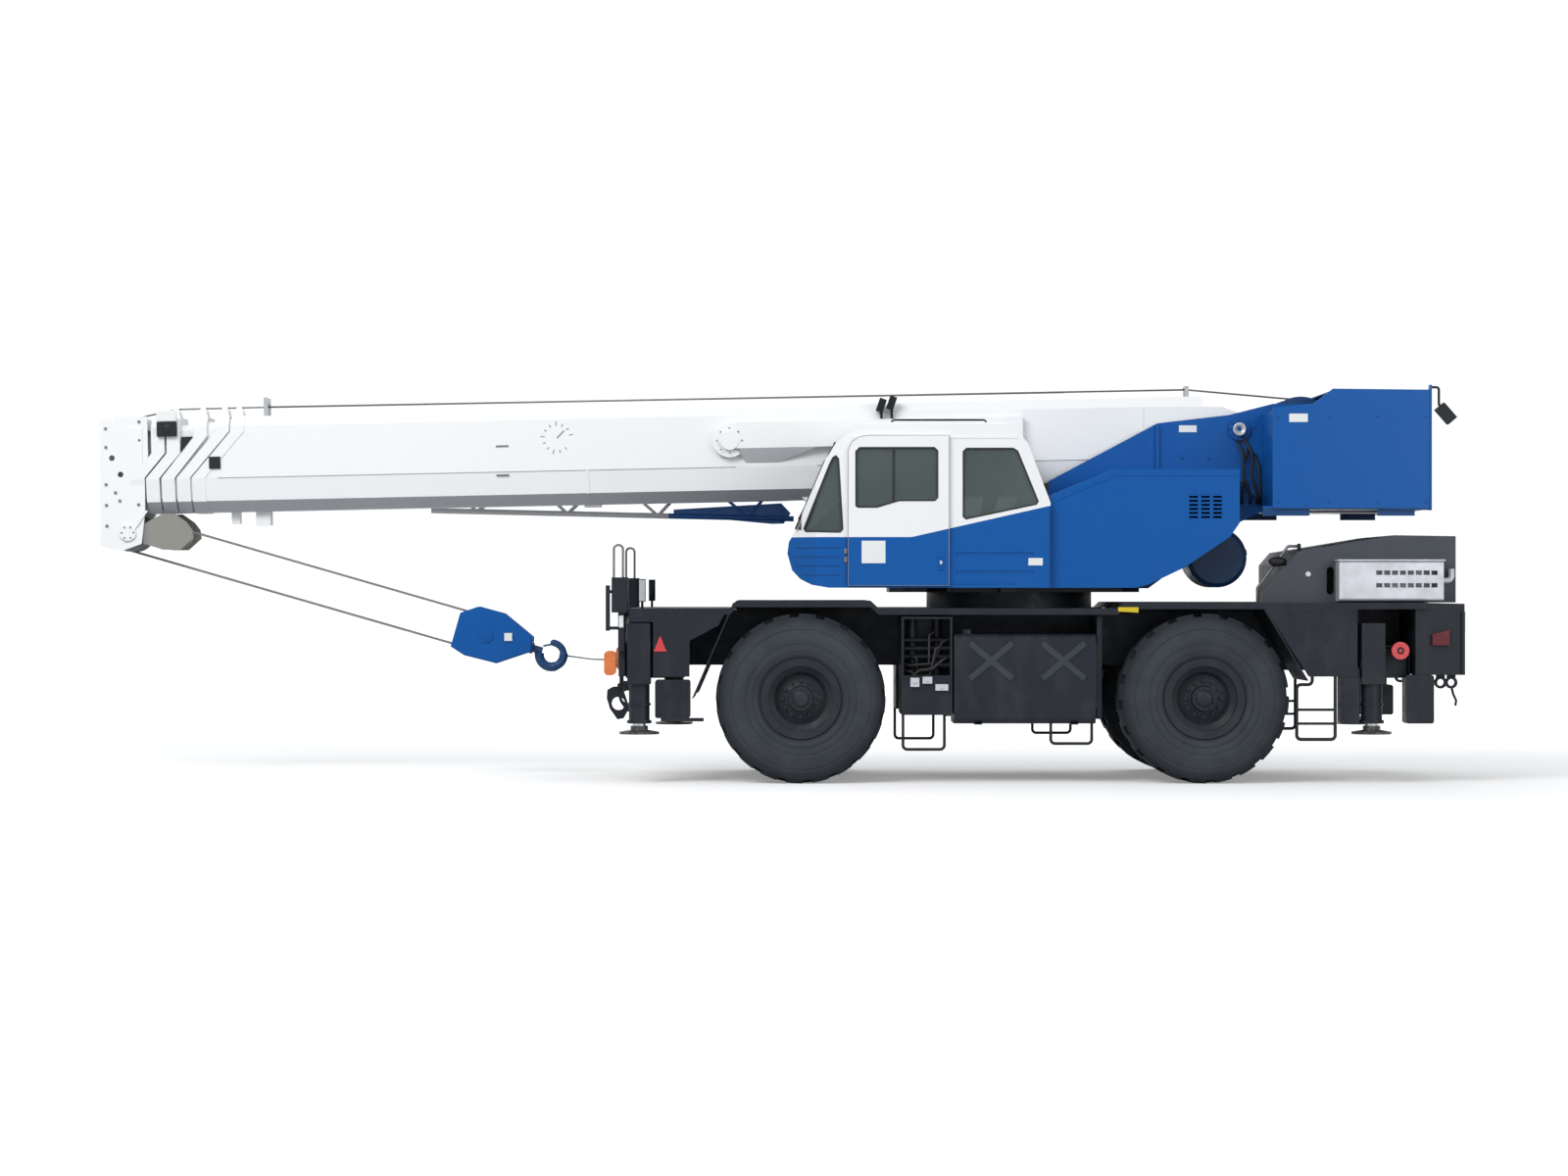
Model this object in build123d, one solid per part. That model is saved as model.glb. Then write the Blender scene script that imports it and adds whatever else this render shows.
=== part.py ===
"""A two-axle rough terrain crane: a carrier on four steered wheels with four telescopic
outriggers, and a slewing superstructure with a one-man cab and a five-section boom.

Millimetres, +Z up. The crane faces -X and its cab is on the -Y side. The origin is on the
ground, in the middle of the overall length and width."""
from build123d import *
from math import atan2, cos, degrees, hypot, pi, radians, sin, sqrt
import os

# Overall sizes
overall_width = 2980

# Running gear
front_axle_x = 270
rear_axle_x = 4045
tyre_radius = 795
tyre_half_width = 292
track = 2380
kingpin_y = 930
rim_radius = 335
lugs_per_side = 20
lug_depth = 30
groove_share = 0.34
hub_radius = 62
knuckle_radius = 190
kingpin_radius = 42
running_gap = 0.1

# Carrier
frame_half_width = 430
frame_bottom_z = 1090
strut_length = 145
frame_top_z = 1620
frame_plate = 20
frame_front_x = -1380
deck_z = 1640
fender_z = 1711
fender_sheet = 10
fender_lip = 60
rear_deck_z = 1693
side_y = overall_width / 2 - 90
tank_inset = 20

hood_half_width = side_y - 310
hood_sheet = 12
side_cover_y = 70 - side_y

front_end_x = -1440
rear_bay = 671
rear_body_length = 460
rear_body_bottom_z = 1015
rear_body_half = side_y - 40
tow_eye_y = 1150
tow_eye_z = 940
tow_eye_radius = 32

# Outriggers
beam_width = 210
beam_height = 250
beam_bottom_z = 1010
beam_gap = 12
beam_travel = 1900
beam_wall = 16
front_beam_x = -1245
outrigger_box_half = overall_width / 2 - 335
jack_radius = 98
rod_radius = 62
jack_travel = 550
float_bottom_z = 460
float_radius = 188
jack_y = overall_width / 2 - float_radius - 2
jack_socket = 270
case_top_z = 1500
case_bottom_z = 560
case_clearance = 37
beam_pitch = beam_width + 2 * beam_gap + beam_wall
case_reach = jack_radius + 18
rear_beam_x = rear_axle_x + tyre_radius + rear_bay + case_reach
rear_body_front_x = rear_beam_x + beam_pitch + case_reach + case_clearance
rear_end_x = rear_body_front_x + rear_body_length
hood_rear_x = rear_end_x - 35
hood_length = 1815

# Slewing superstructure
slew_x = 2300
slew_radius = 800
slew_bottom_z = 1620
slew_top_z = 1790
table_gap = 0.4
table_plate = 41.6
cylinder_pin_radius = 55
side_box_y = -1300
box_sheet = 10
tail_half_width = 1220
cheek_y = 365
cheek_plate = 30

tail_drum_x = 4207
tail_drum_z = 2117
tail_drum_radius = 282
tail_drum_y = -1050

# Cab
cab_outer_y = -1380
cab_inner_y = -455
cab_wall = 40
cab_corner = 270
cab_nose_x = 145
cab_roof_z = 3372
cab_floor_z = 1832
glass_thickness = 6
door_thickness = 32
door_gap = 6
door_travel = 640

# Boom, measured in its own frame: the foot pin is the origin and the tip lies towards -x
pin_x = 4493
pin_z = 3356
pin_radius = 60
boom_droop = 1.2
section_count = 5
section_wall = 10
section_gap = 14
section_travel = 7800
collar_length = 128
collar_pitch = 148.5
pad_gap = 0.4
base_front_x = -10098
base_rear_x = -330
head_front_x = -10979
sheave_radius = 182
top_sheave_radius = 130
top_sheave_x = -10830
top_sheave_z = 200
groove_depth = 20
lower_sheave_x = -10730
lower_sheave_z = -767
rope_radius = 9
sheave_pitch_radius = sheave_radius - groove_depth + rope_radius + 0.3

# Lift cylinder, pinned to the superstructure and to the boom
cylinder_foot_x = 3550
cylinder_foot_z = 2020
cylinder_eye_x = 750
cylinder_eye_z = 2500
winch_x = 5092
winch_z = 3330
rear_winch_x = 5780
rear_winch_z = 3290
barrel_radius = 135
lift_rod_radius = 105
head_pin_radius = 45
jib_pin_radius = 28

# Hook block, hanging from the boom head on ropes drawn back to the carrier
block_sheave_x = -2776
block_sheave_z = 1372

os.makedirs("parts", exist_ok=True)


# Shared shapes

def block(x0, x1, y0, y1, z0, z1):
    """A rectangular block between two corners."""
    return Pos((x0 + x1) / 2, (y0 + y1) / 2, (z0 + z1) / 2) * Box(x1 - x0, y1 - y0, z1 - z0)


def side_plate(outline, y0, y1):
    """An outline of (x, z) points, thick from y0 to y1."""
    face = make_face(Plane.XZ.offset(-y0) * Polyline(*outline, close=True))
    return extrude(face, amount=y1 - y0, dir=(0, 1, 0))


def rod_y(x, z, radius, y0, y1):
    """A round bar across the crane."""
    return Pos(x, (y0 + y1) / 2, z) * Rot(90, 0, 0) * Cylinder(radius, y1 - y0)


def rod_z(x, y, radius, z0, z1):
    """An upright round bar."""
    return Pos(x, y, (z0 + z1) / 2) * Cylinder(radius, z1 - z0)


def rod_x(x0, x1, y, z, radius):
    """A round bar along the crane."""
    return Pos((x0 + x1) / 2, y, z) * Rot(0, 90, 0) * Cylinder(radius, x1 - x0)


def bar(start, end, radius):
    """A round bar between two points."""
    a, b = Vector(*start), Vector(*end)
    plane = Plane(origin=a, z_dir=b - a)
    return plane * Pos(0, 0, (b - a).length / 2) * Cylinder(radius, (b - a).length)


def pipe(points, radius, bend):
    """A bent round tube through the points."""
    path = FilletPolyline(*points, radius=bend)
    return sweep(Plane(origin=path @ 0, z_dir=path % 0) * Circle(radius), path=path)


def both_sides(shape):
    """The shape and its mirror image across the middle of the crane."""
    return shape + mirror(shape, about=Plane.XZ)


def fuse(shapes):
    """All the shapes in one."""
    shapes = list(shapes)
    first = shapes[0]
    return first.fuse(*shapes[1:]) if len(shapes) > 1 else first


def write(shape, node):
    """Writes one named piece."""
    export_step(shape, f"parts/{node}.step")


# Wheels: tyre, rim and knuckle, made for the left side and mirrored to the right

def tyre():
    """A tyre around the Y axis, with block lugs that reach in from both shoulders."""
    tread_half = 208
    profile = [  # (radius, distance from the middle plane), from the bead outwards
        (rim_radius + 1, 232), (430, 276), (560, tyre_half_width), (690, 280),
        (tyre_radius - 42, 258), (tyre_radius, tread_half)]
    outline = profile + [(r, -h) for r, h in reversed(profile)]
    body = revolve(make_face(Polyline(*outline, close=True)), Axis.Y)
    pitch = 360 / lugs_per_side
    groove_width = 2 * tyre_radius * sin(radians(pitch * groove_share / 2))
    groove_start, groove_end = 45, 300
    grooves = []
    for n in range(lugs_per_side):
        for side in (-1, 1):
            cut = Pos(tyre_radius - lug_depth / 2 + 20, side * (groove_start + groove_end) / 2, 0)
            cut *= Box(lug_depth + 40, groove_end - groove_start, groove_width)
            grooves.append(Rot(0, pitch * (n + side / 4), 0) * cut)
    return body - grooves


def rim():
    """A wheel disc with its barrel, flanges and nuts, around the Y axis; it faces -Y."""
    barrel_half = 262
    flange_radius = rim_radius + 42
    inner = rim_radius - 28
    dish = [  # (radius, y) around the section of the wheel
        (hub_radius + running_gap, -70), (hub_radius + running_gap, -228), (112, -228),
        (122, -150), (222, -118), (250, -150), (inner, -178), (inner, -barrel_half),
        (flange_radius, -barrel_half - 8), (flange_radius, -barrel_half + 8),
        (rim_radius, -barrel_half + 12), (rim_radius, barrel_half - 12),
        (flange_radius, barrel_half - 8), (flange_radius, barrel_half + 8), (inner, barrel_half),
        (inner, -130), (245, -90), (210, -70)]
    wheel = revolve(make_face(Polyline(*dish, close=True)), Axis.Y)
    nuts = [Pos(0, -145, 0) * Rot(90, 0, 0) * spot * Cylinder(15, 44)
            for spot in PolarLocations(168, 12)]
    return wheel + nuts


def knuckle():
    """The swivelling hub carrier, about a kingpin at the origin; the wheel is towards -Y."""
    hub_y = kingpin_y - track / 2
    drum = rod_y(0, 0, knuckle_radius, hub_y + 80, 25)
    neck = rod_y(0, 0, 110, hub_y - 64, hub_y + 90)
    stub = rod_y(0, 0, hub_radius, hub_y - 250, hub_y)
    arm = block(60, 330, 15, 75, -60, -10)
    bore = Cylinder(kingpin_radius + running_gap, 3 * knuckle_radius)
    return drum + neck + stub + arm - bore


def steered_corner(axle_x, side, end):
    """Writes the knuckle, rim and tyre at one corner. side is -1 at the left."""
    place = Pos(axle_x, side * kingpin_y, tyre_radius)
    wheel_place = Pos(axle_x, side * track / 2, tyre_radius)
    flip = Rot(0, 0, 0) if side < 0 else Rot(0, 0, 180)
    swivel = knuckle()
    if side > 0:
        swivel = mirror(swivel, about=Plane.XZ)
    write(place * swivel, f"knuckle_{end}")
    write(wheel_place * flip * rim(), f"rim_{end}")
    write(wheel_place * tyre(), f"tyre_{end}")


# Carrier

def axle(axle_x):
    """A drive axle: beam, differential, the yokes with their kingpins and a steering cylinder."""
    z = tyre_radius
    half_span = kingpin_y - knuckle_radius - 26
    plate = knuckle_radius + 6
    beam = rod_y(axle_x, z, 130, -half_span, half_span)
    case = Pos(axle_x, 0, z) * Sphere(250)
    cover = Pos(axle_x + 200, 0, z) * Rot(0, 90, 0) * Cylinder(170, 120)
    yoke = block(axle_x - 90, axle_x + 90, -half_span, -half_span + 60, z - plate - 44,
                 z + plate + 44)
    for side in (-1, 1):
        z0, z1 = sorted((z + side * plate, z + side * (plate + 44)))
        yoke += block(axle_x - 90, axle_x + 90, -kingpin_y - 70, -half_span + 40, z0, z1)
        yoke += rod_z(axle_x, -kingpin_y, kingpin_radius, *sorted((z + side * 110, z + side * 240)))
    cylinder = rod_y(axle_x - 230, z + 60, 55, -330, 330) + block(
        axle_x - 240, axle_x - 60, -60, 60, z + 10, z + 110)
    seat = block(axle_x - 80, axle_x + 140, -400, -260, z, z + 150)
    return fuse([beam, case, cover, both_sides(yoke), cylinder, both_sides(seat)])


def suspension():
    """Links, lock-out cylinders and propeller shafts between the axles and the frame."""
    pieces = []
    for axle_x in (front_axle_x, rear_axle_x):
        top = frame_bottom_z
        foot = frame_bottom_z - strut_length
        for side in (-1, 1):
            pieces.append(rod_z(axle_x + 60, side * 330, 62, foot, top))
            pieces.append(rod_z(axle_x + 60, side * 330, 68, foot, foot + 80))
    return fuse(pieces)


def carrier_frame():
    """The box frame, with its top deck and the rear bumper box."""
    rear_x = rear_end_x
    outer = block(frame_front_x, rear_x - 40, -frame_half_width, frame_half_width,
                  frame_bottom_z, frame_top_z)
    inner = block(frame_front_x + 30, rear_x - 70, -frame_half_width + frame_plate,
                  frame_half_width - frame_plate, frame_bottom_z + frame_plate,
                  frame_top_z - frame_plate)
    frame = outer - inner
    for x0, x1, z0, z1 in outrigger_box_extents():
        frame -= block(x0, x1, -frame_half_width - 1, frame_half_width + 1, z0, z1)
    return frame


def outrigger_box_extents():
    """The lengthwise and vertical extents of the front and rear outrigger boxes."""
    extents = []
    for beam_x in (front_beam_x, rear_beam_x):
        x0 = beam_x - beam_width / 2 - beam_gap - beam_wall
        extents.append((x0, x0 + 2 * beam_width + 4 * beam_gap + 3 * beam_wall,
                        beam_bottom_z - beam_gap - beam_wall,
                        beam_bottom_z + beam_height + beam_gap + beam_wall))
    return extents


def outrigger_boxes():
    """The crosswise boxes in which the outrigger beams slide, front and rear."""
    boxes = []
    half = outrigger_box_half
    for x0, x1, z0, z1 in outrigger_box_extents():
        shell = block(x0, x1, -half, half, z0, z1)
        cell = beam_width + 2 * beam_gap
        for n in (0, 1):
            start = x0 + beam_wall + n * (cell + beam_wall)
            shell -= block(start, start + cell, -half - 1, half + 1, z0 + beam_wall, z1 - beam_wall)
        boxes.append(shell)
    return boxes


def beam_station(beam_x, side):
    """The middle of the left beam, or of the right beam beside it."""
    return beam_x if side < 0 else beam_x + beam_pitch


def outrigger_beam(beam_x, side):
    """A sliding beam with its jack case at the outer end."""
    x = beam_station(beam_x, side)
    inner_end = outrigger_box_half - 15
    y0, y1 = sorted((side * -inner_end, side * (overall_width / 2 - 160)))
    y = side * jack_y
    beam = block(x - beam_width / 2, x + beam_width / 2, y0, y1,
                 beam_bottom_z, beam_bottom_z + beam_height)
    pad = block(x - beam_width / 2, x + beam_width / 2, *sorted((side * -inner_end,
                side * (200 - inner_end))), beam_bottom_z - beam_gap + pad_gap, beam_bottom_z)
    case = rod_z(x, y, jack_radius, case_bottom_z, case_top_z)
    band = rod_z(x, y, jack_radius + 18, case_bottom_z, case_bottom_z + 30)
    band += rod_z(x, y, jack_radius + 12, case_bottom_z + 170, case_bottom_z + 190)
    socket = block(x - jack_radius - 10, x + jack_radius + 10, y - jack_socket / 2,
                   y + jack_socket / 2, beam_bottom_z - 80, beam_bottom_z + beam_height + 240)
    bore = rod_z(x, y, rod_radius + 4, case_bottom_z - 1, case_top_z - 60)
    gland = rod_z(x, y, rod_radius + 6, case_bottom_z, case_bottom_z + 60)
    gland -= rod_z(x, y, rod_radius + running_gap, case_bottom_z, case_bottom_z + 60)
    return fuse([beam, pad, case, band, socket]) - bore + gland


def outrigger_jack(beam_x, side):
    """The jack's rod and its round, rimmed float."""
    x = beam_station(beam_x, side)
    y = side * jack_y
    rod = rod_z(x, y, rod_radius, float_bottom_z + 40, case_top_z - 120)
    z = float_bottom_z
    section = [(0, z), (float_radius, z), (float_radius, z + 22), (rod_radius + 20, z + 40),
               (rod_radius + 20, z + 78), (0, z + 78)]
    face = make_face(Plane.XZ * Polyline(*section, close=True))
    return rod + Pos(x, y, 0) * revolve(face, Axis.Z)


def wheel_cover(line, top_z):
    """Folded sheet along a line of (x, z) points, with a lip turned down at its outer edge."""
    lower = [(x, z - fender_sheet) for x, z in reversed(line)]
    lip = [(x, z - fender_lip) for x, z in reversed(line)]
    inner_y = frame_half_width
    return (side_plate(line + lower, -side_y, -inner_y)
            + side_plate(line + lip, -side_y, -side_y + fender_sheet))


def fenders():
    """The deck plates and wheel covers along both sides of the frame."""
    front = [(-1340, deck_z), (-390, deck_z), (-335, fender_z), (925, fender_z), (1000, deck_z),
             (3240, deck_z), (3290, rear_deck_z), (rear_body_front_x + 110, rear_deck_z)]
    skirt = [(-350, fender_z - 20), (-364, fender_z - 20), (-749, 796), (-735, 796)]
    x, x1 = rear_axle_x + 535, rear_beam_x - case_reach - 31
    top_z = rear_deck_z - 20
    rear_skirt = [(x, top_z), (x + 14, top_z), (x + 444, 960), (x + 430, 960)]
    rear_guard = [(x + 14, top_z), (x1, top_z), (x1, 1000), (x + 444, 1000)]
    shapes = [wheel_cover(front, deck_z)]
    for outline in (skirt, rear_skirt):
        shapes.append(side_plate(outline, -side_y, -frame_half_width))
    shapes.append(side_plate(rear_guard, -side_y, -side_y + fender_sheet))
    front_guard = [(-1340, deck_z - 5), (-420, deck_z - 5), (-500, 1480), (-800, 1320),
                   (-865, 1320), (-865, case_top_z + 12), (-1340, case_top_z + 12)]
    shapes.append(side_plate(front_guard, -side_y, -side_y + fender_sheet))
    for x in (-300, 880, 3330, 4500):
        top = fender_z if x < 1000 else rear_deck_z
        shapes.append(side_plate([(x - 6, top - 5), (x + 6, top - 5), (x + 6, top - 60),
                                  (x - 6, top - 60)], -side_y + 5, -frame_half_width))
    covers = both_sides(fuse(shapes))
    covers += block(-1112, -770, -side_y, -side_y + fender_sheet, 1000, case_top_z + 20)
    return covers - rod_z(slew_x, 0, slew_radius, slew_bottom_z - 80, slew_top_z)


def slew_ring():
    """The pedestal and the fixed race of the slew bearing."""
    ring = rod_z(slew_x, 0, slew_radius, slew_bottom_z, slew_top_z)
    return ring - rod_z(slew_x, 0, slew_radius - 120, slew_bottom_z - 1, slew_top_z + 1)


def engine_hood():
    """The sloping engine cover on the rear deck, set back at the right, slotted at the sides."""
    z = rear_deck_z
    front = hood_rear_x - hood_length
    outline = [(front, z), (front + 12, 1800), (front + 338, 2181), (front + 1235, 2329),
               (hood_rear_x, 2320), (hood_rear_x, z)]
    setback = block(front - 240, front + 230, -520, hood_half_width + 10, z - 5, 2400)
    face = make_face(Polyline(*outline, close=True))
    inside = offset(face, -hood_sheet, kind=Kind.INTERSECTION)
    hood = extrude(Plane.XZ.offset(hood_half_width) * face, amount=2 * hood_half_width,
                   dir=(0, 1, 0))
    room = extrude(Plane.XZ.offset(hood_half_width - hood_sheet) * inside,
                   amount=2 * (hood_half_width - hood_sheet), dir=(0, 1, 0))
    room += block(front + 20, hood_rear_x - hood_sheet, -hood_half_width + hood_sheet,
                  hood_half_width - hood_sheet, z - 1, z + 60)
    hood -= setback
    room -= block(front - 240, front + 230 + hood_sheet, -520 - hood_sheet, hood_half_width + 10,
                  z - 5, 2400)
    slot = Pos(front + 630, 0, 1900) * Rot(90, 0, 0) * extrude(
        SlotOverall(260, 70, rotation=90), amount=2 * hood_half_width, both=True)
    hood = hood - room - slot
    for n in range(4):
        x = hood_rear_x - 495 + n * 100
        hood -= block(x, x + 40, -700, 700, 2300, 2340)
    return hood


def engine_block():
    """The engine, as one plain mass on the frame."""
    return block(hood_rear_x - 1455, hood_rear_x - 305, -380, 380, frame_top_z, 2060)


def muffler_cover():
    """The bright louvred cover at the left of the hood, with its tail pipe."""
    y1 = -hood_half_width
    x0, x1 = hood_rear_x - 1135, hood_rear_x - 155
    cover = block(x0, x1, side_cover_y, y1, 1706, 2085)
    cover = fillet(cover.edges().filter_by(Axis.X).group_by(Axis.Y)[0], 30)
    cover += block(x0 - 15, x1 + 15, side_cover_y - 6, y1, 2085, 2097)
    cover -= block(x0 + 12, x1 - 12, side_cover_y + 12, y1 - 12, 1718, 2073)
    for z in (1834, 1952):
        for n in range(8):
            x = x0 + 346 + n * 74
            cover -= block(x, x + 58, side_cover_y - 10, side_cover_y + 20, z, z + 42)
    pipe_end = pipe([(x1 - 10, -1170, 1900), (x1 + 100, -1170, 1900),
                     (x1 + 100, -1170, 2010)], 28, 50)
    return cover + pipe_end


def x_rib(x, z, y):
    """Two crossing pressed ribs on a tank's side."""
    arm = Box(520, 24, 56)
    return Pos(x, y, z) * (Rot(0, 40, 0) * arm + Rot(0, -40, 0) * arm)


def side_tanks():
    """Fuel tank at the left and oil tank at the right, hollow, with crossed ribs and a cap."""
    side = tank_inset - side_y
    outer = block(1706, 3034, side, -640, 558, 1400)
    outer = fillet(outer.edges().filter_by(Axis.X), 60)
    inner = block(1716, 3024, side + 10, -650, 568, 1390)
    inner = fillet(inner.edges().filter_by(Axis.X), 50)
    shapes = [outer]
    for x in (2053, 2730):
        shapes.append(x_rib(x, 1148, side))
    for x in (1900, 2800):
        shapes.append(block(x, x + 70, -660, -frame_half_width, 1180, 1340))
        shapes.append(block(x, x + 70, side - 4, -640, 550, 558))
    shapes.append(rod_z(1830, side + 130, 55, 1395, 1440))
    tank = fuse(shapes) - inner
    return both_sides(tank)


def equipment_boxes():
    """Battery box, valve bay and splash plates on both sides, and the lower lockers."""
    side = tank_inset + 10 - side_y
    bay = block(1215, 1690, side, -frame_half_width, 640, 1560)
    bay -= block(1235, 1670, side - 1, -900, 1010, 1540)
    shapes = [bay, block(1216, 1689, side - 15, side, 640, 980),
              block(3050, 3095, side + 70, -frame_half_width, 600, 1560),
              block(3034, 3050, side + 70, -1000, 700, 1300)]
    for z in (1100, 1180, 1260, 1340):
        shapes.append(rod_x(1225, 1680, -1100, z, 24))
    for x in (1320, 1560):
        shapes.append(rod_z(x, -1040, 45, 1005, 1545))
    box_bottom = beam_bottom_z - beam_gap - beam_wall
    y = jack_y
    front_locker = [locker(-1095, -765, -y - 85, -y + 100, 610, 970),
                    block(-1000, -900, -y + 70, 55 - outrigger_box_half, 840, box_bottom),
                    block(-1040, -640, -y - 95, -y + 60, 580, 610)]
    x, y = rear_body_front_x, rear_body_half
    body_seat = rear_body_bottom_z - table_gap
    rear_left = [locker(x - 95, x + 170, -y - 25, 195 - y, 560, body_seat)]
    x1 = rear_beam_x - case_reach - 11
    inner_left = locker(x1 - 180, x1, -side_y + fender_sheet + table_gap + 4, -jack_y + 100, 560,
                        1090)
    rear_right = [locker(x + 50, x + 195, y - 240, y + 25, 560, 860),
                  block(x + 70, x + 130, y - 239, y - 160, 855, rear_body_bottom_z)]
    return [both_sides(fuse(shapes)), fuse(front_locker), fuse(rear_left), fuse(rear_right),
            inner_left]


def locker(x0, x1, y0, y1, z0, z1):
    """A closed box with rounded ends and a lid that stands a little proud."""
    box = fillet(block(x0, x1, y0, y1, z0, z1).edges().filter_by(Axis.Y), 25)
    return box + block(x0 + 30, x1 - 30, y0 - 4, y1 + 4, z0 + 30, z1 - 40)


def steps():
    """Bent-tube step loops between the wheels and the ladders behind the rear wheels."""
    shapes = []
    for x0, x1, top, bottom in ((1230, 1618, 640, 316), (2616, 3000, 558, 371)):
        y = tank_inset + 70 - side_y
        shapes.append(pipe([(x0, y, top), (x0, y, bottom), (x1, y, bottom), (x1, y, top)], 14, 40))
    y = 16 + fender_sheet - side_y
    x0, x1 = rear_axle_x + 870, rear_beam_x - 352
    ladder = pipe([(x0 + 145, y, 1050), (x0 + 145, y, 925), (x0, y, 925), (x0, y, 412),
                   (x1, y, 412), (x1, y, 1050)], 16, 40)
    for z in (560, 690):
        ladder += rod_x(x0, x1, y, z, 13)
    return [both_sides(loop) for loop in shapes] + [both_sides(ladder)]


def rear_body():
    """The cross box at the rear end, with the tow eyes under it."""
    x0, x1 = rear_body_front_x, rear_end_x
    y = rear_body_half
    z0, z1 = rear_body_bottom_z, rear_deck_z - fender_sheet
    shell = block(x0, x1, -y, y, z0, z1)
    shell -= block(x0 + 14, x1 - 14, -y + 14, y - 14, z0 + 14, z1 - 14)
    shell -= block(x0 - 1, x1 - 60, -frame_half_width, frame_half_width, z0 - 1, z1 + 1)
    shell += both_sides(block(x1 - 30, x1, -y - 30, -y + 10, z0, 1610))
    eyes = []
    for x in (rear_end_x - 191, rear_end_x - 90):
        plate = rod_y(x, tow_eye_z, 58, -tow_eye_y - 20, -tow_eye_y + 20)
        plate += block(x - 40, x + 40, -tow_eye_y - 20, -tow_eye_y + 20, tow_eye_z, z0 + 5)
        eyes.append(plate - rod_y(x, tow_eye_z, tow_eye_radius, -tow_eye_y - 30, -tow_eye_y + 30))
    return shell + both_sides(fuse(eyes))


def front_body():
    """The front cross plate with its tow hooks, mirror stands and bumper bars."""
    x0, x1 = front_end_x, frame_front_x
    plate = block(x0, x1, 100 - side_y, side_y - 100, 1000, deck_z - fender_sheet)
    plate -= block(x0 + 12, x1 + 1, 112 - side_y, side_y - 112, 1270, 1560)
    hook = side_plate([(-1555, 870), (-1500, 900), (-1440, 900), (-1400, 860), (-1345, 700),
                       (-1400, 600), (-1460, 590), (-1530, 690), (-1560, 790)], -1100, -1060)
    hook -= rod_y(-1450, 740, 62, -1110, -1050)
    hanger = block(-1440, -1400, -1095, -1065, 850, 1010)
    stand = block(-1500, -1345, -side_y - 40, 110 - side_y, 1600, 1930)
    stand = fillet(stand.edges().filter_by(Axis.Z), 30)
    foot = block(x0, x1, -side_y, 110 - side_y, 1240, 1610)
    bumper = block(-1555, -1515, -side_y - 20, 20 - side_y, 1430, 1855)
    arm = block(-1530, x0 + 5, -side_y - 10, 105 - side_y, 1440, 1470)
    arm += block(-1530, -1480, -side_y - 10, 10 - side_y, 1780, 1810)
    return plate + both_sides(fuse([hook, hanger, stand, foot, bumper, arm]))


def guard_rails():
    """Bright bent-tube guards over the mirror stands and the hood's front handrails."""
    y = 35 - side_y
    guard = pipe([(-1480, y, 1930), (-1480, y, 2232), (-1395, y, 2232), (-1395, y, 1930)], 11, 40)
    rail = pipe([(4600, -950, rear_deck_z), (4600, -950, 1830), (4890, -950, 2225),
                 (5005, -950, 2225), (5005, -950, 2188)], 14, 30)
    return [both_sides(guard), rail]


def reflector(x, z, side):
    """A triangular side reflector on a guard plate, its lower left corner at (x, z)."""
    outline = [(x, z), (x + 60, z + 150), (x + 120, z)]
    y0, y1 = sorted((side * side_y, side * (side_y + 14)))
    return side_plate(outline, y0, y1)


def rear_lamp(x, side):
    """A round red lamp on an arm from the rear outrigger box."""
    arm_y = sorted((side * (side_y - 20), side * outrigger_box_half))
    face_y = sorted((side * (side_y + 40), side * (side_y - 20)))
    return rod_y(x, 1244, 82, *face_y) + block(x - 38, x + 38, *arm_y, 1206, 1284)


def lamps():
    """Amber front corner lamps, side reflectors and red rear lamps."""
    corner = block(-1575, -1465, -1330, -1180, 1010, 1240)
    corner = fillet(corner.edges().filter_by(Axis.Y), 40)
    corner += block(-1470, front_end_x, -1290, -1220, 1090, 1160)
    return [both_sides(corner), reflector(-1105, 1236, -1), reflector(-830, 1345, 1),
            rear_lamp(rear_beam_x + beam_pitch, -1), rear_lamp(rear_beam_x, 1)]


# Superstructure

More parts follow.
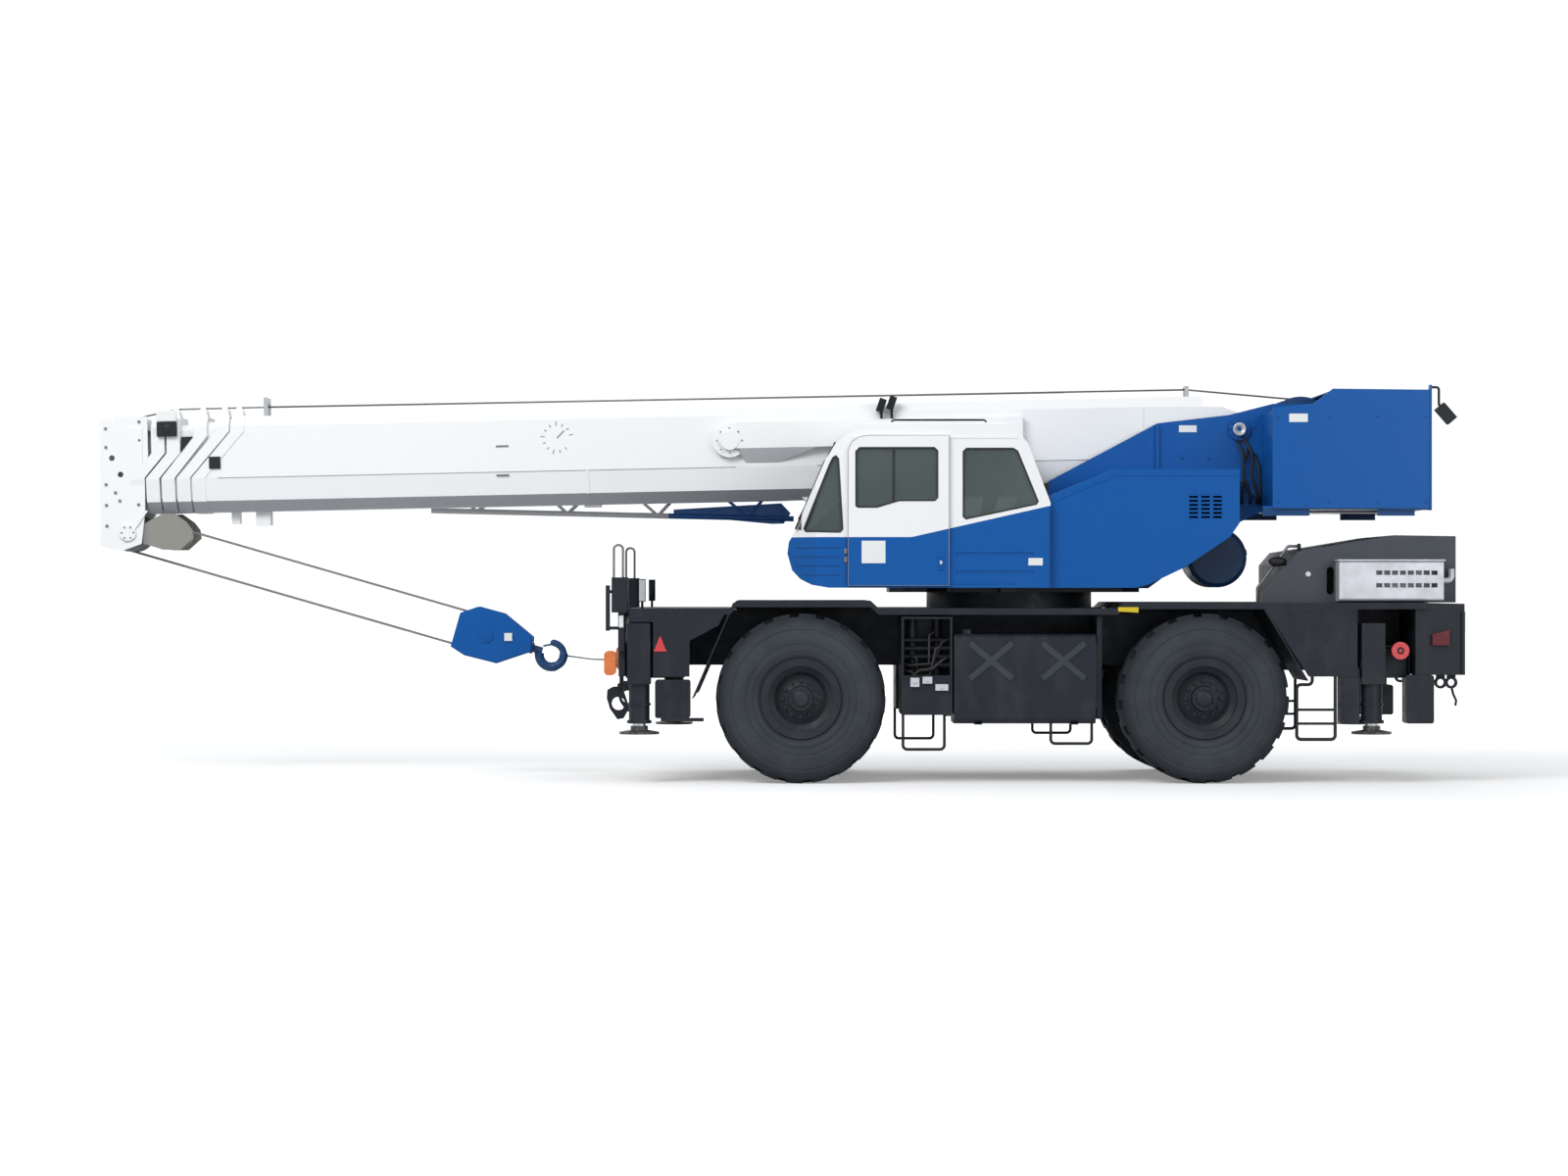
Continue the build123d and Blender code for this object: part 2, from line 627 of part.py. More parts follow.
def turntable():
    """The slewing frame: a base plate, two cheeks that carry the boom foot and cross plates."""
    base_z = slew_top_z + table_gap
    top_z = base_z + table_plate
    base = block(1480, 3500, -900, 900, base_z, top_z)
    base = chamfer(base.edges().filter_by(Axis.Z), 180)
    base += rod_z(slew_x, 0, slew_radius - 130, base_z - 60, base_z + 5)
    outline = [(1500, top_z - 5), (1500, 2000), (2680, 2868), (3708, 3415), (4396, 3495),
               (4821, 3604), (6185, 3604), (6185, 2610), (4811, 2610), (4471, 2450),
               (3620, top_z - 5)]
    cheek = side_plate(outline, -cheek_y - cheek_plate, -cheek_y)
    cheek += side_plate([(3690, 3400), (3720, 3400), (3720, 2943), (3690, 2943)],
                        -cheek_y - cheek_plate - 30, -cheek_y - cheek_plate)
    cheek += side_plate([(4400, 2960), (4440, 2960), (4690, 2700), (4650, 2700)],
                        -cheek_y - cheek_plate - 40, -cheek_y - cheek_plate)
    boss = rod_y(pin_x, pin_z, 105, -cheek_y - cheek_plate - 35, -cheek_y)
    foot_boss = rod_y(cylinder_foot_x, cylinder_foot_z, 110, -cheek_y - cheek_plate, -150)
    shapes = [base]
    for shape in (cheek, boss, foot_boss):
        shapes.append(both_sides(shape))
    shapes.append(rod_y(pin_x, pin_z, pin_radius, -cheek_y - cheek_plate - 60,
                        cheek_y + cheek_plate + 60))
    shapes.append(rod_y(cylinder_foot_x, cylinder_foot_z, cylinder_pin_radius, -200, 200))
    shapes.append(block(4811, 6185, -cheek_y, cheek_y, 2610, 2640))
    shapes.append(side_plate([(3620, 1900), (3640, 1880), (4440, 2420), (4420, 2440)],
                             -cheek_y, cheek_y))
    for x0, x1 in ((1100, 1250), (2150, 2300)):
        shapes.append(block(x0, x1, -1250, -cheek_y, base_z, cab_floor_z))
    shapes.append(block(1100, 1600, -700, -cheek_y, base_z, cab_floor_z))
    return fuse(shapes)


cab_outline = [(145, 2160), (159, 2264), (196, 2326), (499, 3026), (600, 3190), (700, 3282),
               (838, 3344), (1031, 3372), (2040, 3372), (2200, 3348), (2310, 3285), (2398, 3188),
               (2609, 2631), (2609, 1832), (548, 1832), (380, 1860), (270, 1915), (190, 2000)]
doorway = [(770, 1905), (770, 3095), (840, 3195), (920, 3222), (1617, 3222), (1617, 1905)]
door_outline = [(710, 1850), (710, 3120), (745, 3200), (820, 3250), (900, 3262), (1661, 3262),
                (1661, 1850)]
door_window = [(788, 2600), (788, 3110), (820, 3142), (1520, 3142), (1549, 3115), (1549, 2675),
               (1525, 2650), (1190, 2650), (985, 2588), (800, 2588)]
quarter_window = [(300, 2385), (318, 2362), (640, 2355), (662, 2380), (622, 3040), (600, 3068),
                  (572, 3050), (540, 2985)]
rear_window = [(1792, 3110), (1820, 3138), (2260, 3138), (2300, 3115), (2494, 2640), (2480, 2615),
               (1815, 2476), (1792, 2495)]
right_window = [(760, 2450), (760, 3180), (2250, 3180), (2350, 2950), (2350, 2450)]


def cab_solid(inset):
    """The cab's outer form, with its cut corner, pulled in by inset."""
    face = make_face(Polyline(*cab_outline, close=True))
    if inset:
        face = offset(face, -inset, kind=Kind.INTERSECTION)
    y0, y1 = cab_outer_y + inset, cab_inner_y - inset
    body = extrude(Plane.XZ.offset(-y0) * face, amount=y1 - y0, dir=(0, 1, 0))
    line = -cab_outer_y - cab_nose_x - cab_corner - inset * sqrt(2)
    x0, x1 = cab_nose_x - 900, cab_nose_x + cab_corner + 900
    corner = make_face(Polyline((x0, -x0 - line), (x1, -x1 - line), (x0, -x1 - line), close=True))
    return body - Pos(0, 0, cab_floor_z - 10) * extrude(corner, amount=2000, dir=(0, 0, 1))


def window_cutters():
    """The prisms that cut the cab's windows through its walls."""
    middle = (cab_outer_y + cab_inner_y) / 2
    outer = (cab_outer_y - 20, cab_outer_y + 330)
    windscreen = Pos(345, middle + 35, 2715) * Rot(0, 23.4, 0) * Box(170, 720, 690)
    roof = block(1200, 1960, cab_outer_y + 130, cab_inner_y - 110, cab_roof_z - 60, cab_roof_z + 20)
    back = Pos(2505, middle, 2905) * Rot(0, -20.8, 0) * Box(160, 660, 430)
    right = side_plate(right_window, cab_inner_y - cab_wall - 20, cab_inner_y + 20)
    rear = side_plate(rear_window, cab_outer_y - 20, cab_outer_y + cab_wall + 20)
    return [side_plate(quarter_window, *outer) - windscreen, rear, right, windscreen, roof, back]


def cab_shell():
    """The cab: a hollow body with its windows and doorway cut, pressed grooves and door rails."""
    shell = cab_solid(0) - cab_solid(cab_wall) - fuse(window_cutters())
    shell -= side_plate(doorway, cab_outer_y - 20, cab_outer_y + cab_wall + 20)
    y1 = cab_outer_y
    y0 = y1 - door_gap + 0.4
    for z in (1956, 2130):
        groove = block(1720, 2455, y1 - 1, y1 + 10, z, z + 34)
        shell -= chamfer(groove.edges().filter_by(Axis.Y), 12)
    shapes = [shell]
    for z in (1868, 3232):
        shapes.append(block(720, 2300, y0, y1 + 1, z, z + 22))
    shapes.append(block(840, 2240, y1 + 60, y1 + 90, cab_roof_z - 10, cab_roof_z + 12))
    return fuse(shapes)


def cab_glass():
    """The panes, set in the middle of the cab's walls and filling its windows."""
    middle = cab_wall / 2
    sheet = cab_solid(middle - glass_thickness / 2) - cab_solid(middle + glass_thickness / 2)
    return [sheet & cutter for cutter in window_cutters()]


def cab_door():
    """The sliding door, hung outside the cab's left wall, with its window cut."""
    y0 = cab_outer_y - door_gap - door_thickness
    plate = side_plate(door_outline, y0, y0 + door_thickness)
    recess = side_plate([(760, 1900), (760, 2500), (1610, 2500), (1610, 1900)],
                        y0 + 14, y0 + door_thickness + 1)
    handle = block(1560, 1605, y0 - 10, y0 + 2, 2000, 2140)
    grip = block(1570, 1595, y0 - 11, y0 - 4, 2020, 2120)
    return plate - side_plate(door_window, y0 - 5, y0 + door_thickness + 5) - recess + (
        handle - grip)


def door_glass():
    """The door's pane, filling its window."""
    y0 = cab_outer_y - door_gap - door_thickness + 13
    return side_plate(door_window, y0, y0 + glass_thickness)


def cab_interior():
    """Seat, armrest consoles, dashboard and steering wheel."""
    y = (cab_outer_y + cab_inner_y) / 2
    floor = cab_floor_z + cab_wall
    base = block(1560, 1960, y - 190, y + 190, floor, floor + 300)
    base = chamfer(base.edges().filter_by(Axis.Z), 60)
    cushion = block(1480, 2010, y - 250, y + 250, floor + 300, floor + 430)
    cushion = fillet(cushion.edges().filter_by(Axis.Y), 50)
    back = side_plate([(1930, floor + 400), (2030, floor + 400), (2180, floor + 1020),
                       (2140, floor + 1050), (2060, floor + 1020)], y - 235, y + 235)
    head = side_plate([(2080, floor + 1070), (2155, floor + 1070), (2190, floor + 1220),
                       (2120, floor + 1220)], y - 120, y + 120)
    neck = side_plate([(2100, floor + 1000), (2140, floor + 1000), (2155, floor + 1080),
                       (2115, floor + 1080)], y - 20, y + 20)
    shapes = [base, cushion, back, head, neck]
    for side in (-1, 1):
        y0, y1 = sorted((y + side * 265, y + side * 360))
        box = side_plate([(1400, floor + 450), (1400, floor + 600), (1900, floor + 640),
                          (1950, floor + 450)], y0, y1)
        lever = rod_z(1480, (y0 + y1) / 2, 14, floor + 590, floor + 760)
        knob = rod_z(1480, (y0 + y1) / 2, 24, floor + 750, floor + 805)
        y2, y3 = sorted((y + side * 245, y + side * 300))
        arm = block(1700, 1800, y2, y3, floor + 350, floor + 460)
        shapes += [box, lever, knob, arm]
    dash = side_plate([(420, floor + 150), (330, floor + 480), (620, floor + 760),
                       (760, floor + 720), (760, floor + 640), (700, floor + 560),
                       (700, floor + 150)], y - 250, y + 250)
    stand = block(570, 690, y - 200, y + 200, floor, floor + 160)
    column = bar((700, y, floor + 640), (970, y, floor + 806), 30)
    rim_plane = Plane(origin=(975, y, floor + 809), z_dir=(0.85, 0, 0.53))
    wheel = rim_plane * Torus(190, 15) + rim_plane * Box(370, 30, 16) + rim_plane * Cylinder(45, 30)
    return fuse(shapes) + fuse([dash, stand, column, wheel])


def superstructure_fittings():
    """The cab's roof rail and rear lamp, and the work lamp on the tail's bracket."""
    rail = pipe([(1136, -917, cab_roof_z), (1136, -917, cab_roof_z + 52),
                 (2030, -917, cab_roof_z + 52), (2030, -917, cab_roof_z)], 9, 25)
    cab_lamp = side_plate([(2565.9, 2745), (2539.4, 2815), (2600, 2815), (2600, 2745)],
                          -1290, -1200)
    bracket = pipe([(6206, -1150, 3722), (6285, -1150, 3722), (6285, -1150, 3560),
                    (6320, -1150, 3510)], 12, 25)
    head = Pos(6348, -1150, 3474) * Rot(0, -41, 0) * Box(104, 130, 185)
    return [rail, cab_lamp, bracket + head]


def side_boxes():
    """The hollow side bodies behind the cab and across from it, louvred at the left."""
    outline = [(2615, 1832), (2615, 2700), (2770, 2765), (3210, 2943), (4390, 2943), (4390, 2440),
               (4300, 2310), (3875, 2023), (3544, 1867), (3420, 1832)]
    face = make_face(Polyline(*outline, close=True))
    inside = offset(face, -box_sheet, kind=Kind.INTERSECTION)
    y0, y1 = side_box_y, -cheek_y - cheek_plate
    shell = extrude(Plane.XZ.offset(-y0) * face, amount=y1 - y0, dir=(0, 1, 0))
    shell -= extrude(Plane.XZ.offset(-y0 - box_sheet) * inside, amount=y1 - y0 - box_sheet - 10,
                     dir=(0, 1, 0))
    left = shell - rod_y(tail_drum_x, tail_drum_z, tail_drum_radius, y0 - 10, 0)
    for n in range(3):
        x = 3912 + n * 112
        left -= block(x, x + 92, y0 - 5, y0 + 4, 2474, 2718)
        for k in range(6):
            left -= block(x + 6, x + 86, y0 - 5, y0 + 30, 2486 + k * 38, 2506 + k * 38)
    rib = side_plate([(2630, 2640), (2780, 2720), (3225, 2905), (4370, 2905), (4370, 2885),
                      (3230, 2885), (2790, 2700), (2630, 2620)], y0 - 6, y0 + 2)
    return [left + rib, mirror(shell, about=Plane.XZ)]


def counterweight():
    """The tail: side covers, the raised rear hood, the back plate and the weight inside."""
    front, rear = 4710, 6206
    outline = [(front, 2586), (front, 3530), (5100, 3568), (5276, 3706), (rear, 3696),
               (rear, 2562)]
    side = side_plate(outline, -tail_half_width, -tail_half_width + 16)
    flange = block(rear - 16, rear, -tail_half_width - 12, -tail_half_width + 90, 2562, 3742)
    lower = block(4620, 5060, -tail_half_width + 20, -tail_half_width + 60, 2510, 2600)
    lower += block(5700, 6050, -tail_half_width + 20, -tail_half_width + 60, 2510, 2600)
    front_plate = block(front, front + 12, -tail_half_width + 1, -cheek_y - cheek_plate,
                        2586, 3500)
    bottom = block(front, rear - 1, -tail_half_width + 1, -cheek_y - cheek_plate, 2572, 2592)
    shapes = [both_sides(fuse([side, flange, lower, front_plate, bottom]))]
    shapes.append(block(rear - 16, rear, -tail_half_width, tail_half_width, 2572, 3696))
    shapes.append(block(5290, rear - 1, -tail_half_width + 1, tail_half_width - 1, 3686, 3697))
    weight = block(5790, rear - 15, -tail_half_width + 15, tail_half_width - 15, 2580, 3250)
    weight -= block(5780, 6185, -cheek_y - cheek_plate, cheek_y + cheek_plate, 2500, 3620)
    shapes.append(weight)
    return fuse(shapes)


def winch(x, z, flange_radius):
    """A hoist drum with rope laps, between the cheeks."""
    half = cheek_y
    section = [(0, -half), (70, -half), (70, -half + 8), (flange_radius, -half + 8),
               (flange_radius, -half + 34), (flange_radius - 34, -half + 34)]
    outline = section + [(r, -y) for r, y in reversed(section)]
    return Pos(x, 0, z) * revolve(make_face(Polyline(*outline, close=True)), Axis.Y)


def winches():
    """The main and auxiliary hoist drums."""
    return [winch(winch_x, winch_z, 345), winch(rear_winch_x, rear_winch_z, 300)]


def tail_drum():
    """The round tank bolted to the left cheek, with a dished end and its filler."""
    inner_y = -cheek_y - cheek_plate - table_gap
    radius = tail_drum_radius
    section = [(0, tail_drum_y), (radius - 40, tail_drum_y), (radius, tail_drum_y + 30),
               (radius, inner_y - 30), (radius - 40, inner_y), (0, inner_y)]
    tank = revolve(make_face(Polyline(*section, close=True)), Axis.Y)
    filler = Rot(0, 80, 0) * Pos(0, -800, radius + 5) * Cylinder(28, 50)
    return Pos(tail_drum_x, 0, tail_drum_z) * (tank + filler)


# Boom

collar_slants = [(383, 440), (383, 440), (319, 397), (206, 241), (206, 241)]
section_profile = [(215, 335), (310, 240), (310, -258), (270, -478), (165, -585)]


def on_boom(shape):
    """Places a shape from the boom's own frame into the crane."""
    return Pos(pin_x, 0, pin_z) * Rot(0, -boom_droop, 0) * shape


def profile_face(inset):
    """The boom's cross-section in the YZ plane, pulled in by inset."""
    right = [(y, z) for y, z in section_profile]
    left = [(-y, z) for y, z in reversed(section_profile)]
    face = make_face(Polyline(*right, *left, close=True))
    return offset(face, -inset, kind=Kind.INTERSECTION) if inset else face


def along_boom(face, x0, x1):
    """A cross-section drawn from x0 to x1 along the boom."""
    return extrude(Plane(origin=(x0, 0, 0), x_dir=(0, 1, 0), z_dir=(1, 0, 0)) * face,
                   amount=x1 - x0, dir=(1, 0, 0))


def section_front(n):
    """Where the collar of section n ends; the base section is n = 0."""
    return base_front_x - n * collar_pitch


def collar_edge(n):
    """The slanted front edge of section n's collar, as (x, z) points from bottom to top."""
    front = section_front(n)
    run, rise = collar_slants[n]
    return [(front, -700), (front, -249), (front + run, -249 + rise), (front + run, 400)]


def boom_section(n):
    """One telescopic section: a tube, its slanted collar and the pads it slides on."""
    inset = n * (section_wall + section_gap)
    front = section_front(n)
    rear = base_rear_x - n * 110
    edge = collar_edge(n)
    back = [(x + collar_length, z) for x, z in reversed(edge)]
    band = side_plate(edge + back, -400, 400)
    ahead = side_plate(edge + [(front - 60, 400), (front - 60, -700)], -400, 400)
    tube = along_boom(profile_face(inset), front, rear) - ahead
    collar = along_boom(profile_face(-8 if n == 0 else 0), front, front + 560) & band
    if n > 0:
        pads = along_boom(profile_face(inset - section_gap + pad_gap), rear - 260, rear - 60)
        pads &= block(rear - 260, rear - 60, -100, 100, -700, 500) + block(
            rear - 260, rear - 60, -400, 400, -200, -60)
        tube += pads
    hollow = along_boom(profile_face(inset + section_wall), front - 80, rear + 30)
    return tube + collar - hollow


def boom_base():
    """The base section with its foot, side fairing and the ears for the lift cylinder."""
    tube = boom_section(0)
    foot = side_plate([(-900, 240), (-150, 225), (90, 130), (150, 60), (165, 0), (150, -60),
                       (90, -130), (-60, -170), (-330, -258), (-900, -258)], -340, -310)
    foot -= rod_y(0, 0, pin_radius + running_gap, -400, 400)
    eye = boom_point(cylinder_eye_x, cylinder_eye_z)
    ear = side_plate([(eye[0] - 460, -560), (eye[0] - 110, eye[1] - 110),
                      (eye[0] + 110, eye[1] - 110), (eye[0] + 460, -560)], -200, -151)
    ear -= along_boom(profile_face(section_wall), -9000, -400)
    ear += rod_y(*eye, 85, -240, -199)
    fairing = side_plate([(-4840, -80), (-4840, 170), (-2080, 170), (-2080, -80)], -405, -309)
    slope = side_plate([(-4840, -80), (-4750, -215), (-4420, -215), (-4060, -80)], -405, -309)
    slope &= along_boom(make_face(Polyline((-405, -80), (-309, -80), (-309, -230), close=True)),
                        -4900, -4000)
    reel = rod_y(-4905, -5, 160, -372, -309) + rod_y(-4905, -5, 90, -410, -371)
    band = along_boom(profile_face(-6), -6300, -6270)
    band -= along_boom(profile_face(1), -6310, -6260)
    band &= block(-6310, -6260, -400, 400, -700, -258)
    brackets = [block(-9760, -9680, -60, 60, -700, -580), block(-9520, -9380, -90, 90, -720, -580),
                block(-6330, -6170, -120, 120, -610, -584)]
    return fuse([tube, both_sides(foot), both_sides(ear), fairing, slope, reel, band] + brackets)


def boom_point(x, z):
    """A point of the crane, as (x, z) in the boom's own frame."""
    a = radians(boom_droop)
    dx, dz = x - pin_x, z - pin_z
    return dx * cos(a) + dz * sin(a), -dx * sin(a) + dz * cos(a)


def top_section():
    """The innermost section with the boom head's cheeks and pins welded on."""
    tube = boom_section(4)
    tube -= block(head_front_x - 50, section_front(4) + 1, -400, 400, -800, 500)
    outline = [(head_front_x, 307), (-10945, 330), (-10860, 330), (-10840, 356), (-10522, 349),
               (-10522, -150), (-10556, -249), (-10562, -567), (-10580, -719), (-10601, -878),
               (-10786, -941), (head_front_x - 19, -899)]
    cheek = side_plate(outline, -300, -272)
    for x, z in ((-10870, -45), (-10790, -205)):
        cheek -= rod_y(x, z, jib_pin_radius, -310, -260)
    cheek += rod_y(lower_sheave_x, lower_sheave_z, 80, -322, -299)
    rib = side_plate([(-10560, -560), (-10530, -560), (-10740, -850), (-10770, -850)], -316, -299)
    cheek += rib
    front = section_front(4)
    collar = along_boom(profile_face(0), front - 10, front + 120)
    collar -= along_boom(profile_face(4 * (section_wall + section_gap) + section_wall),
                         front - 20, front + 130)
    shapes = [tube, both_sides(cheek), collar,
              block(head_front_x + 20, head_front_x + 44, -273, 273, -560, 50),
              block(-10700, -10570, -273, 273, -560, -545),
              rod_y(lower_sheave_x, lower_sheave_z, head_pin_radius, -300, 300),
              rod_y(top_sheave_x, top_sheave_z, head_pin_radius, -300, 300)]
    return fuse(shapes)


def sheave(radius, bore):
    """A grooved rope wheel around the Y axis."""
    half = 24
    bottom = radius - groove_depth
    outline = [(bore, -half), (radius, -half), (radius, -half + 6), (bottom, -6), (bottom, 6),
               (radius, half - 6), (radius, half), (bore, half)]
    return revolve(make_face(Polyline(*outline, close=True)), Axis.Y)


def head_sheaves():
    """The rope wheels on the two pins of the boom head, and the folded auxiliary bracket."""
    bore = head_pin_radius + running_gap
    wheels = [Pos(lower_sheave_x, y, lower_sheave_z) * sheave(sheave_radius, bore)
              for y in (-180, -60, 60, 180)]
    wheels += [Pos(top_sheave_x, y, top_sheave_z) * sheave(top_sheave_radius, bore)
               for y in (-60, 60)]
    outline = [(-10585, -690), (-10398, -590), (-10284, -590), (-10172, -672), (-10117, -745),
               (-10106, -831), (-10235, -942), (-10392, -939), (-10589, -877)]
    bracket = both_sides(side_plate(outline, -272, -250))
    bracket += rod_y(-10265, -800, 22, -251, 251)
    bracket += Pos(-10265, 0, -800) * sheave(120, 20)
    bracket += block(-10420, -10392, -251, 251, -935, -900)
    return wheels + [bracket]


def boom_fittings():
    """Rope guides on top of the boom, its work lamps and the hangers under it."""
    shapes = []
    top = section_profile[0][1]
    mast = [block(-480, -440, y - 8, y + 8, top, 445) for y in (-70, 70)]
    shapes.append(fuse(mast + [rod_y(-460, 430, 16, -75, 75)]))
    post = [block(-9420, -9380, y - 8, y + 8, top, 520) for y in (-110, 110)]
    shapes.append(fuse(post + [rod_y(-9400, 470, 18, -115, 115)]))
    side = section_profile[1][0]
    for x, z in ((-3437, 306), (-3337, 326)):
        lamp = Pos(x, -side - 50, z) * Rot(0, 20, 0) * Box(70, 90, 130)
        shapes.append(lamp + block(x - 12, x + 12, -side - 60, -side, 180, z - 50))
    return shapes


def stowed_jib():
    """The lattice jib stowed along the far side of the boom."""
    y0, y1 = 372, 500
    shapes = []
    chord = [(-7860, -600), (-4300, -755)]
    top = [(-7800, -240), (-4400, -310)]
    for y in (y0, y1):
        for (xa, za), (xb, zb) in (chord, top):
            shapes.append(bar((xa, y, za), (xb, y, zb), 26))
    steps_x = 8
    for n in range(steps_x):
        f0, f1 = n / steps_x, (n + 1) / steps_x
        low = [chord[0][k] + (chord[1][k] - chord[0][k]) * (f0 if n % 2 else f1) for k in (0, 1)]
        high = [top[0][k] + (top[1][k] - top[0][k]) * (f1 if n % 2 else f0) for k in (0, 1)]
        for y in (y0, y1):
            shapes.append(bar((low[0], y, low[1]), (high[0], y, high[1]), 15))
        shapes.append(bar((low[0], y0, low[1]), (low[0], y1, low[1]), 15))
    wedge = side_plate([(-5480, -640), (-4420, -600), (-4330, -700), (-4400, -800), (-4520, -800),
                        (-5480, -690)], y0 - 8, y0 + 8)
    shapes += [wedge, Pos(0, y1 - y0, 0) * wedge]
    for x in (-7000, -5000):
        shapes.append(block(x, x + 60, section_profile[1][0], y1, -250, -180))
        shapes.append(block(x, x + 60, y0 - 12, y0 + 12, -300, -180))
    return fuse(shapes)


# Lift cylinder

def cylinder_direction():
    """Unit vector and length from the foot pin to the rod's eye."""
    dx, dz = cylinder_eye_x - cylinder_foot_x, cylinder_eye_z - cylinder_foot_z
    length = hypot(dx, dz)
    return dx / length, dz / length, length


def along_cylinder(start, end, radius):
    """A round bar on the lift cylinder's axis, between two distances from its foot."""
    ux, uz, _ = cylinder_direction()
    return bar((cylinder_foot_x + ux * start, 0, cylinder_foot_z + uz * start),
               (cylinder_foot_x + ux * end, 0, cylinder_foot_z + uz * end), radius)


def lift_barrel():
    """The barrel, with the eye at its foot and the gland at its mouth."""
    _, _, length = cylinder_direction()
    mouth = length - 210
    barrel = along_cylinder(110, mouth, barrel_radius) + along_cylinder(
        mouth - 90, mouth, barrel_radius + 12)
    room = along_cylinder(240, mouth - 60, lift_rod_radius + 12) + along_cylinder(
        mouth - 61, mouth + 1, lift_rod_radius + running_gap)
    eye = rod_y(cylinder_foot_x, cylinder_foot_z, 125, -149, 149)
    bore = rod_y(cylinder_foot_x, cylinder_foot_z, cylinder_pin_radius + running_gap, -160, 160)
    return barrel + eye - room - bore


def lift_rod():
    """The rod, with the eye at its tip."""
    _, _, length = cylinder_direction()
    rod = along_cylinder(300, length - 60, lift_rod_radius)
    eye = rod_y(cylinder_eye_x, cylinder_eye_z, 112, -150.6, 150.6)
    return rod + eye - rod_y(cylinder_eye_x, cylinder_eye_z, cylinder_pin_radius, -160, 160)


# Hook block

def head_point():
    """The lower head sheaves' axis, as (x, z) in the crane."""
    a = radians(boom_droop)
    return (pin_x + lower_sheave_x * cos(a) - lower_sheave_z * sin(a),
            pin_z + lower_sheave_x * sin(a) + lower_sheave_z * cos(a))


def fall_angle():
    """How far the ropes to the hook block slope down, in degrees."""
    hx, hz = head_point()
    return degrees(atan2(hz - block_sheave_z, block_sheave_x - hx))


def on_block(shape):
    """Places a shape from the hook block's own frame: x along the ropes, away from the head."""
    return Pos(block_sheave_x, 0, block_sheave_z) * Rot(0, fall_angle(), 0) * shape


def hook_block():
    """Weighted cheeks, sheaves and the crosshead that holds the hook's shank."""
    outline = [(-300, -200), (-300, 140), (-150, 246), (110, 250), (440, 107), (470, -30),
               (173, -235), (-150, -246)]
    face = make_face(Plane.XZ.offset(150) * Polyline(*outline, close=True))
    cheek = extrude(face, amount=40, dir=(0, 1, 0))
    cheek = chamfer(cheek.faces().sort_by(Axis.Y)[0].edges(), 12)
    pin = rod_y(0, 0, 44, -166, 166)
    nut = rod_y(0, 0, 70, -160, -149)
    crosshead = block(330, 400, -111, 111, -60, 70)
    crosshead -= rod_x(320, 410, 0, 0, 38 + running_gap)
    spacer = rod_y(-235, 90, 22, -111, 111) + rod_y(-235, -90, 22, -111, 111)
    wheels = [Pos(0, y, 0) * sheave(sheave_radius, 40) for y in (-60, 60)]
    return fuse([both_sides(cheek), pin, both_sides(nut), crosshead, spacer] + wheels)


def hook():
    """The hook: shank, bowl and tip, thinner towards the tip, with its safety latch."""
    centre_x, centre_z = 655, -10
    shank = rod_x(300, 560, 0, 0, 38) + rod_x(300, 329.6, 0, 0, 62) + rod_x(415, 470, 0, 0, 56)
    bowl_radius = 118
    parts = []
    for start, sweep_angle, radius in ((185, 115, 46), (300, 75, 42), (15, 80, 34)):
        path = Plane.XZ * CenterArc((0, 0), bowl_radius, start, sweep_angle)
        parts.append(sweep(Plane(origin=path @ 0, z_dir=path % 0) * Circle(radius), path=path))
    for angle, radius in ((300, 46), (15, 42), (95, 34)):
        a = radians(angle)
        parts.append(Pos(bowl_radius * cos(a), 0, bowl_radius * sin(a)) * Sphere(radius))
    latch = bar((-100, 0, 60), (-20, 0, 100), 10)
    return shank + Pos(centre_x, 0, centre_z) * fuse(parts + [latch])


def hoist_falls():
    """The rope parts between the boom head and the hook block."""
    hx, hz = head_point()
    a = radians(fall_angle())
    ropes = []
    for side in (1, -1):
        off_x, off_z = side * sheave_pitch_radius * sin(a), side * sheave_pitch_radius * cos(a)
        for y in (-60, 60):
            ropes.append(bar((hx + off_x, y, hz + off_z),
                             (block_sheave_x + off_x, y, block_sheave_z + off_z), rope_radius))
    return ropes


